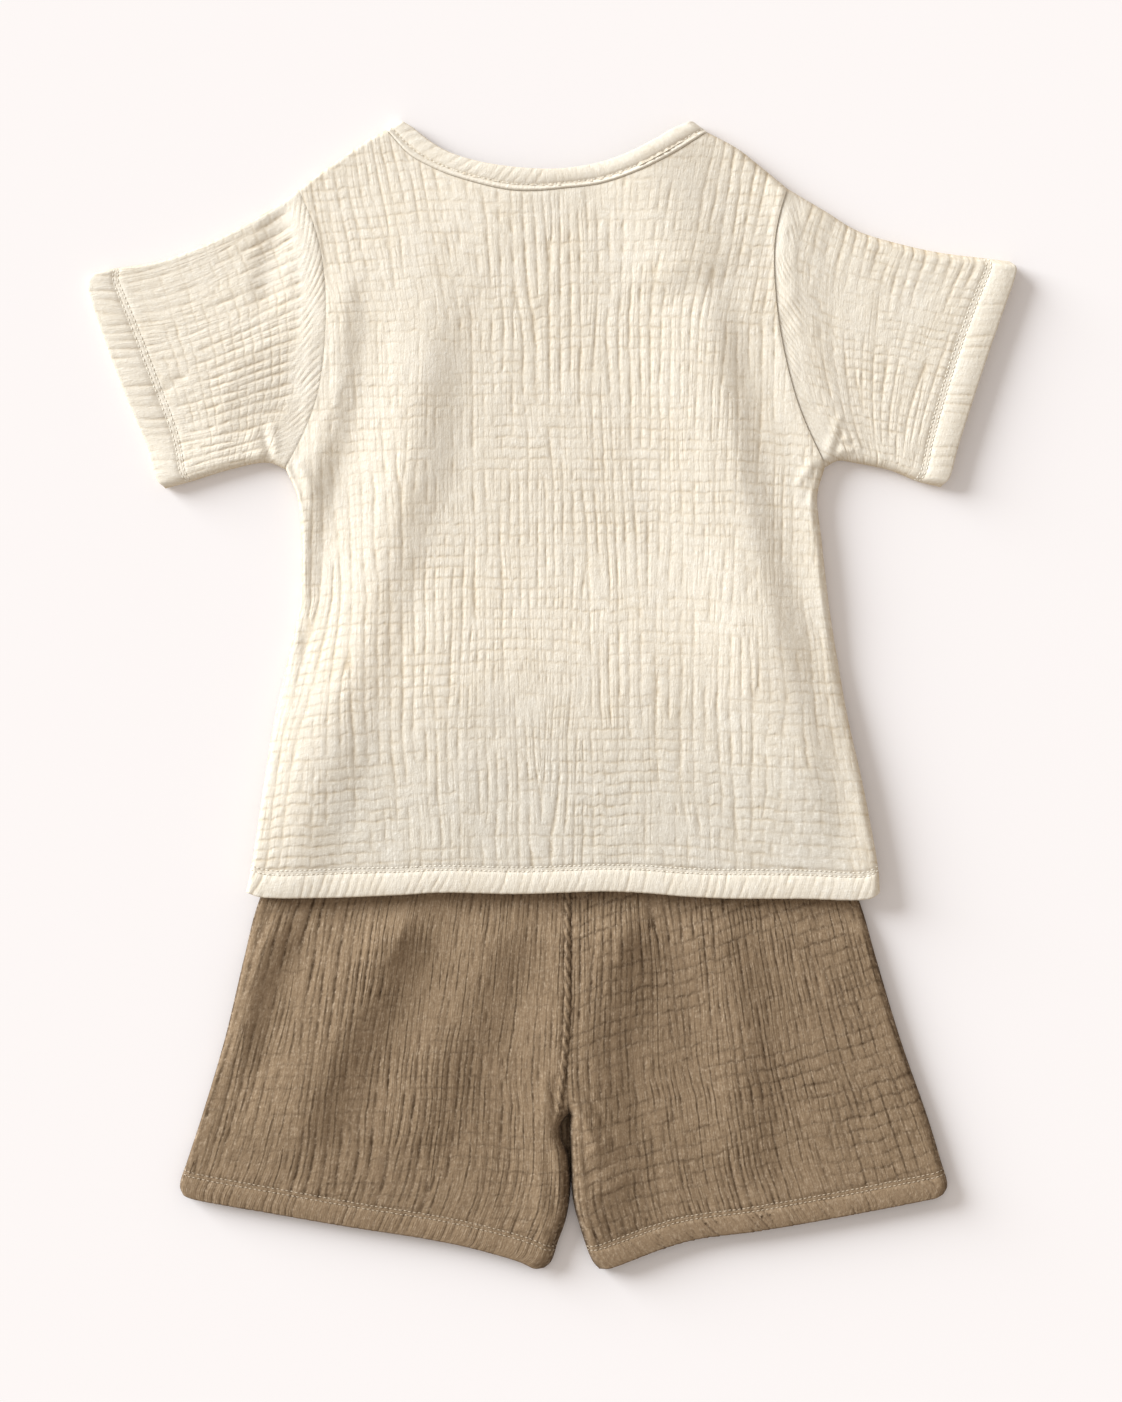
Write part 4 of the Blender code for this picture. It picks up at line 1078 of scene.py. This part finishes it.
def makeSleeve(side, look):
    name = side.lower() + "Sleeve"
    cuff, seam, low, high = (curveOf(edge + side) for edge in ("cuff", "armhole", "sleeveUnder", "sleeveTop"))
    width, length = lengthsOf(cuff)[-1], lengthsOf(high)[-1]
    steps = spaced(length, look["rowStep"], hemSteps, (0.0, 0.5, 1.2, 2.0))
    lowSteps = stretchedSteps(steps, length, lengthsOf(low)[-1])
    parts = []
    for step, up in ((look["columnStep"], True), (look["underStep"], False)):
        across = spaced(width, step, edgeSteps, edgeSteps)
        grid = coons(atShares(cuff, across / width), atShares(seam, across / width),
                     atDistances(low, lowSteps), atDistances(high, steps))
        if up:
            flatArea = 2 * panelArea(grid) + turning * width * 2
        radius = rollRadius(across)
        grid = pulledIn(grid, steps, radius)
        turn, _, level = turnAt(grid, edgesOf([low, high], look["edges"], up))
        a, d = spread(across, steps)
        u, v = (a * 1.08, d) if look["lengthwise"] else (d, a * 1.08)
        seed = look["seed"] + (0 if up else underSeed)
        toHole = curveDistance(grid, seam)
        eased = smoothstep((look["easedRun"] + 6 * noise(a / 16, d / 16, seed + 30) - toHole) / 10)
        relief = blended(crinkle(u, v, look, seed), armholeCrinkle(toHole, a, seed + 31), eased)
        relief, _ = hemmed(relief, a, d, look, seed)
        height, shade = sewn(relief["height"], grid, [seam], up)
        if up:
            height = height + creaseRelief(grid, look["creases"])
            z = upperZ(level, turn, topHeight(grid) - look["drop"], height)
        else:
            z = underZ(level, turn, height, look["thick"])
        layers = sheetLayers(relief, u, v, 0.8 * shade + rimShade(turn), 0.0)
        parts.append((np.dstack([grid, z]), layers, radius))
    piece = ringPiece(name, "sleeve_" + side.lower(), parts, 0, hemInner, topCloth)
    sheets = [(parts[0][0], 1), (parts[1][0], -1)]
    stitching = hemStitches(name + "CuffStitches", sheets, steps, topCloth)
    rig.sheet(piece, held="laid", rests_on=["backPanel"], with_pieces=[stitching],
             **flatSize(look["flatWidth"], look["flatLength"] + turning, flatArea))


makeSleeve("Left", leftSleeveLook)
makeSleeve("Right", rightSleeveLook)


# The neck binding

bindingLook = {
    "ribPitch": 5.6, "ribDepth": 0.2, "lean": 0.55, "stitchAt": 3.4, "stitchDip": 0.45, "welt": 0.45,
    "seamDip": 0.75, "crown": 0.55, "thick": 0.8, "roll": 1.0, "width": 11.3, "flatWidth": 24.0, "seed": 23,
    "rows": (0.0, 0.35, 0.8, 1.3, 1.8, 2.3, 2.8, 3.3, 3.8, 4.4, 5.2, 6.2, 7.2, 8.2, 9.2, 10.0, 10.6, 11.0),
}


def makeBinding(necks):
    look = bindingLook
    rows = np.array(look["rows"])
    share = (rows / look["width"])[:, None, None]
    back, front = ((1 - share) * seam + share * atShares(curveOf(name + "Edge"), sharesOf(seam))
                   for name, seam in necks.items())
    for end in (0, -1):
        back[:, end] = front[:, end] = (back[:, end] + front[:, end]) / 2
    closed = [back[:, 0], back[:, -1]]
    parts = []
    for strip, up in ((back, True), (front, False)):
        turn, _, level = turnAt(strip, edgesOf(closed, ("flat", "plump"), up))
        s, d = spread(lengthsOf(strip[0]), rows)
        lean = look["lean"] * d * np.sign(s - s.max() / 2)
        phase = (s + lean) / look["ribPitch"] + 0.5 * noise(s / 12, d / 12, look["seed"])
        rib = ribsOf(phase)
        strength = np.clip(0.55 + 0.6 * noise(s / 5, d / 9, look["seed"] + 1), 0.1, 1.1)
        strength = strength * smoothstep((d - 3.6) / 1.2)
        height = look["ribDepth"] * strength * (rib - 1) + 0.05 * noise(s / 1.5, d / 1.5, look["seed"] + 2)
        height = height + look["welt"] * hump(d - 1.25, 0.6) - look["seamDip"] * hump(d, 0.45)
        height = height - look["stitchDip"] * hump(d - look["stitchAt"], 0.65)
        height = height + look["crown"] * np.sin(math.pi * np.clip((d - 3.8) / 7.4, 0, 1))
        if up:
            z = upperZ(level, turn, topHeight(strip), height)
        else:
            z = underZ(level, turn, height, look["thick"])
        # painted shade in the binding's grooves, at its seam and along its stitch line
        paintedShade = strength * (1 - rib) ** 2 * 0.5 + 0.8 * hump(d, 0.5) + 0.9 * hump(d - look["stitchAt"], 0.6)
        relief = {"paintedShade": paintedShade, **ribLines(phase, phase * 0, (strength * 0.5, 0.0, strength * 0.4))}
        layers = sheetLayers(relief, s, d, 0.0, 0.0)
        parts.append((np.dstack([strip, z]), layers, look["roll"] * np.clip(turn[-1], 0.25, 1)))
    piece = ringPiece("neckBinding", "neck_band", parts, -1, (4.0, 8.0), topCloth)
    lines = [(stitchLine(part[0], rows, look["stitchAt"]), way, 0.0) for part, way in zip(parts, (1, -1))]
    seam = placed(stitches("neckStitches", lines, creamThread), topCloth)
    length = lengthsOf(back[0])[-1] + lengthsOf(front[0])[-1]
    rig.sheet(piece, held="folded", rests_on=["backPanel", "frontPanel"], with_pieces=[seam],
             **flatSize(length, look["flatWidth"]))


makeBinding(necks)


# The felled centre-back seam, a narrow twisted ridge

fellLook = {
    "path": [(3.6, -216.5), (4.6, -205), (6.2, -190), (7.4, -175), (8, -160), (8, -98)], "halfWidth": 1.5,
    "height": 1.0, "twist": 7.0, "sink": 0.35, "besideDip": 0.35, "besideShade": 0.6, "sides": 12,
}


def besideFell(grid):  # 1 in the groove on both sides of the fell
    distance = curveDistance(grid, denseCurve(fellLook["path"])[::3])
    return hump(distance - fellLook["halfWidth"] - 0.4, 0.9)


def makeFell():
    look = fellLook
    curve = denseCurve(look["path"])
    path = atDistances(curve, np.arange(0.0, lengthsOf(curve)[-1], 0.45))
    x, y = path.T[..., None]
    z = shortsHeight(path[None])[0][:, None] - look["sink"]
    s = lengthsOf(path)[:, None]
    phi = np.arange(look["sides"])[None] * 2 * math.pi / look["sides"]
    swell = 1 + 0.15 * np.cos(2 * math.pi * s / look["twist"] + 2.6 * np.cos(phi))
    swell = swell + 0.08 * noise(s / 3, phi, 91)
    size = swell * (smoothstep(np.minimum(s, s.max() - s) / 4) * 0.8 + 0.2)
    points = np.dstack([x + look["halfWidth"] * size * np.cos(phi), np.broadcast_to(y, swell.shape),
                        z + look["height"] * size * np.sin(phi)])
    # painted shade in the narrow parts of the fell's twist
    paintedShade = np.clip(1.1 * (1 - (swell - 0.84) / 0.32), 0, 1) ** 1.5 + 0.12
    places = clothMap(*np.broadcast_arrays(phi * 1.3, s))
    layers = {"clothMap": places, "paintedShade": paintedShade, "showThroughAndShade": paintedShade * 0}
    return placed(clothSheet("centreBackFell", points, layers, taupeGauze, ring=True), shortsCloth)


# The shorts' legs

legLook = {
    "ribPitch": 5.4, "ribShape": 0.7, "halfRibs": 1.2, "creased": 0.2, "pucker": 0.14, "hemDepth": 0.36,
    "hemPuff": 0.45, "hemDip": 0.42, "columnStep": 0.82, "rowStep": 1.1, "underStep": 2.2, "thick": 0.5,
    "crotch": 66,
}
leftLegLook = {
    **legLook, "ribDepth": 0.66, "wander": 1.0, "merges": 22, "crossPitch": 6.2, "crossDepth": 0.18,
    "cross": 0.6, "crossSlope": 0.0, "hemPitch": 4.2, "hemLean": -0.1, "outer": "flat", "innerRound": 8.0,
    "underInseam": "inseamLeftUnder", "seed": 29,
    "creases": [
        (2.1, -196, 0, -222, 1.2, -0.9), (-3, -196, -6, -226, 2.6, 0.6),
        (-2, -232, 2, -275, 2.6, -0.8), (-8, -236, -5, -285, 3.0, 0.6),
    ],
}
rightLegLook = {
    **legLook, "ribDepth": 0.5, "wander": 0.9, "merges": 16, "crossPitch": 7.2, "crossDepth": 0.32,
    "cross": 0.85, "crossSlope": -0.26, "hemPitch": 4.4, "hemLean": 0.45, "outer": "plump", "innerRound": 5.0,
    "underInseam": "inseamRight", "seed": 37,
    "creases": [
        (14, -200, 34, -232, 2.2, -0.7), (12, -209, 24, -236, 2.0, 0.6), (16, -240, 34, -228, 2.0, 0.5),
        (16, -252, 38, -238, 2.2, -0.5), (18, -262, 40, -250, 2.2, 0.5), (13, -216, 22, -262, 2.6, -0.6),
    ],
}


def innerEdge(inseam, centre, steps, row):  # ends of a leg's rows, up its inseam and then the centre seam
    places = stretchedSteps(steps[:row + 1], steps[row], lengthsOf(inseam)[-1])
    shares = (steps[row + 1:] - steps[row]) / (steps[-1] - steps[row])
    return np.vstack([atDistances(inseam, places), atShares(centre, shares)])


def legGrid(side, look, inner, step, rowStep):
    hem, outer, centre = curveOf("legHem" + side), curveOf("outseam" + side), curveOf("centreSeam")
    width = lengthsOf(hem)[-1]
    steps = spaced(lengthsOf(outer)[-1], rowStep, hemSteps)
    row = int(np.argmin(abs(steps - look["crotch"])))
    inseams = (curveOf(look["underInseam"]), inner)
    innerRows, notchRows = (innerEdge(inseam, centre, steps, row) for inseam in inseams)
    outerRows = atDistances(outer, steps)
    left, right = (outerRows, innerRows) if side == "Left" else (innerRows, outerRows)
    across = spaced(width, step, edgeSteps, edgeSteps)
    share = (across / width)[:, None]
    grid = coons(atShares(hem, across / width), (1 - share) * left[-1] + share * right[-1], left, right)
    fromInner = (width - across if side == "Left" else across)[None, :, None]
    return grid + (notchRows - innerRows)[:, None] * hump(fromInner, 7), across, steps


def makeLeg(side, look):
    outer, centre = curveOf("outseam" + side), curveOf("centreSeam")
    results = {}
    kinds = (("Back", look["columnStep"], look["rowStep"], "inseam" + side),
             ("Front", look["underStep"], look["underStep"], look["underInseam"]))
    for layer, step, rowStep, inseam in kinds:
        up = layer == "Back"
        inner = curveOf(inseam)
        grid, across, steps = legGrid(side, look, inner, step, rowStep)
        cut = flatCut(grid, panelArea(grid))
        radius = rollRadius(across)
        grid = pulledIn(grid, steps, radius)
        closed = edgesOf([outer], [look["outer"]], up) + edgesOf([inner], ["plump"], up, look["innerRound"])
        turn, _, level = turnAt(grid, closed)
        a, d = spread(across, steps)
        u, v = a * 0.94, grid[..., 1] + look["crossSlope"] * grid[..., 0]
        seed = look["seed"] + (0 if up else underSeed)
        relief, _ = hemmed(crinkle(u, v, look, seed), a, d, look, seed)
        height, shade = sewn(relief["height"], grid, [centre], up)
        if up:
            beside = besideFell(grid)
            shade = shade + fellLook["besideShade"] * beside
            shown = 0.25 + 0.75 * smoothstep((lay["shownFrom"] - grid[..., 1]) / 6 + 1)
            height = (height - fellLook["besideDip"] * beside) * shown + creaseRelief(grid, look["creases"])
            z = upperZ(level, turn, shortsHeight(grid), height)
        else:
            z = underZ(level, turn, height, look["thick"])
        layers = sheetLayers(relief, u, v, 0.9 * shade + rimShade(turn), 0.0)
        node = f"shorts_{layer}_{side}".lower()
        name = side.lower() + "Leg" + layer
        points = np.dstack([grid, z])
        results[layer] = (*openPanel(name, node, points, layers, steps, radius, up, shortsCloth), cut)
    return results


legs = {"Left": makeLeg("Left", leftLegLook), "Right": makeLeg("Right", rightLegLook)}
fell = makeFell()
for side, layers in legs.items():
    for layer, (piece, seam, cut) in layers.items():
        rests = [side.lower() + "LegFront"] if layer == "Back" else []
        extra = [fell] if (side, layer) == ("Left", "Back") else []
        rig.sheet(piece, held="laid", rests_on=rests, with_pieces=[seam] + extra, **cut)


# The waist casing, gathered on its elastic and hidden under the top

waistLook = {
    "ribPitch": 5.2, "ribDepth": 0.9, "gatherRun": 24.0, "rows": 20, "columnStep": 1.3,
    "stitchRows": (2.0, 20.5), "stitchDip": 0.3, "thick": 0.2, "underShare": 0.4, "roll": 0.9,
    "flatWidth": 48.0, "seed": 43,
}


def makeWaist():
    look = waistLook
    low, high = np.array(outline["yoke"]), np.array(outline["waist"])
    width = np.linalg.norm(low[1] - low[0])
    across = spaced(width, look["columnStep"], edgeSteps, edgeSteps)
    rows = np.linspace(0, 1, look["rows"])[:, None]
    start, end = ((1 - rows) * low[k] + rows * high[k] for k in (0, 1))
    share = (across / width)[None, :, None]
    grid = start[:, None] * (1 - share) + end[:, None] * share
    a, d = spread(across, rows[:, 0] * look["gatherRun"])
    parts = []
    for up in (True, False):
        turn, _, level = turnAt(grid, edgesOf([grid[:, 0], grid[:, -1]], ("flat", "plump"), up))
        phase = a / look["ribPitch"] + 0.5 * noise(a / 15, d / 14, look["seed"])
        rib = ribsOf(phase)
        strength = np.clip(0.6 + 0.5 * noise(a / 5, d / 9, look["seed"] + 1), 0, 1)
        dip = sum(hump(d - row, 0.8) for row in look["stitchRows"])
        height = look["ribDepth"] * (rib - 1) * strength - look["stitchDip"] * dip
        if up:
            z = upperZ(level, turn, lay["tuckedLoft"], height)
        else:
            z = underZ(level, turn, height, look["thick"], look["underShare"])
        # painted shade in the gathers' grooves
        layers = {"clothMap": clothMap(a, d), "paintedShade": (1 - rib) ** 2, "showThroughAndShade": a * 0}
        parts.append((np.dstack([grid, z]), layers, look["roll"] * np.clip(turn[-1], 0.25, 1)))
    piece = ringPiece("waistCasing", "waistband", parts, -1, (6.0, 20.0), shortsCloth)
    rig.sheet(piece, held="gathered", rests_on=["leftLegBack", "rightLegBack"],
             **flatSize(2 * width, look["flatWidth"]))


makeWaist()


# Floor, light and camera

studio = {
    "floor": (0.902, 0.873, 0.868), "floorSize": 8000, "floorHeight": -0.3, "world": (1.0, 0.925, 0.862),
    "worldStrength": 0.605, "key": 5.66, "keyColour": (0.911, 0.954, 1.0), "keySoftness": 36,
    "keyElevation": 17.5, "keyFrom": (-0.87, 0.49), "lens": 85.0, "sensor": 36.0, "centre": (4.68, -3.12),
    "tall": 729.04, "level": 6.0,
}


def makeStudio():
    scene = bpy.context.scene
    scene.view_settings.view_transform = "Standard"
    material, start = newMaterial("paleFloor")
    soft = start.node("TexCoord", output="Object").grain(3.0, 2.0)
    colour = (soft * 0.3).mixed(rgba(studio["floor"]), rgba([c * 0.995 for c in studio["floor"]]))
    finishMaterial(start, {"Base Color": colour, "Roughness": 0.95, "Specular IOR Level": 0.0})
    corners = [(x * studio["floorSize"], y * studio["floorSize"], studio["floorHeight"])
               for x, y in ((-1, -1), (1, -1), (1, 1), (-1, 1))]
    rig.stage(meshFrom("paleFloor", corners, [(0, 1, 2, 3)], material))

    world = bpy.data.worlds.new("studioWorld")
    world.use_nodes = True
    scene.world = world
    background = world.node_tree.nodes["Background"]
    background.inputs["Color"].default_value = rgba(studio["world"])
    background.inputs["Strength"].default_value = studio["worldStrength"]

    key = bpy.data.lights.new("keyLight", "SUN")
    key.energy = studio["key"]
    key.color = studio["keyColour"]
    key.angle = math.radians(studio["keySoftness"])
    lamp = bpy.data.objects.new("keyLight", key)
    away = math.atan2(studio["keyFrom"][1], studio["keyFrom"][0])
    lamp.rotation_euler = (0.0, math.pi / 2 - math.radians(studio["keyElevation"]), away)
    scene.collection.objects.link(lamp)

    lens = bpy.data.cameras.new("camera")
    lens.lens = studio["lens"]
    lens.sensor_width = studio["sensor"]
    lens.clip_end = 20.0
    camera = bpy.data.objects.new("camera", lens)
    height = studio["tall"] * studio["lens"] / studio["sensor"] + studio["level"]
    camera.location = (studio["centre"][0] * mm, studio["centre"][1] * mm, height * mm)
    scene.collection.objects.link(camera)
    scene.camera = camera


makeStudio()
print("studio made")

sceneBox = [list(corner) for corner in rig.bounds()]
with open("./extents.json", "w") as file:
    json.dump({"cad": cadBox, "scene": sceneBox}, file)
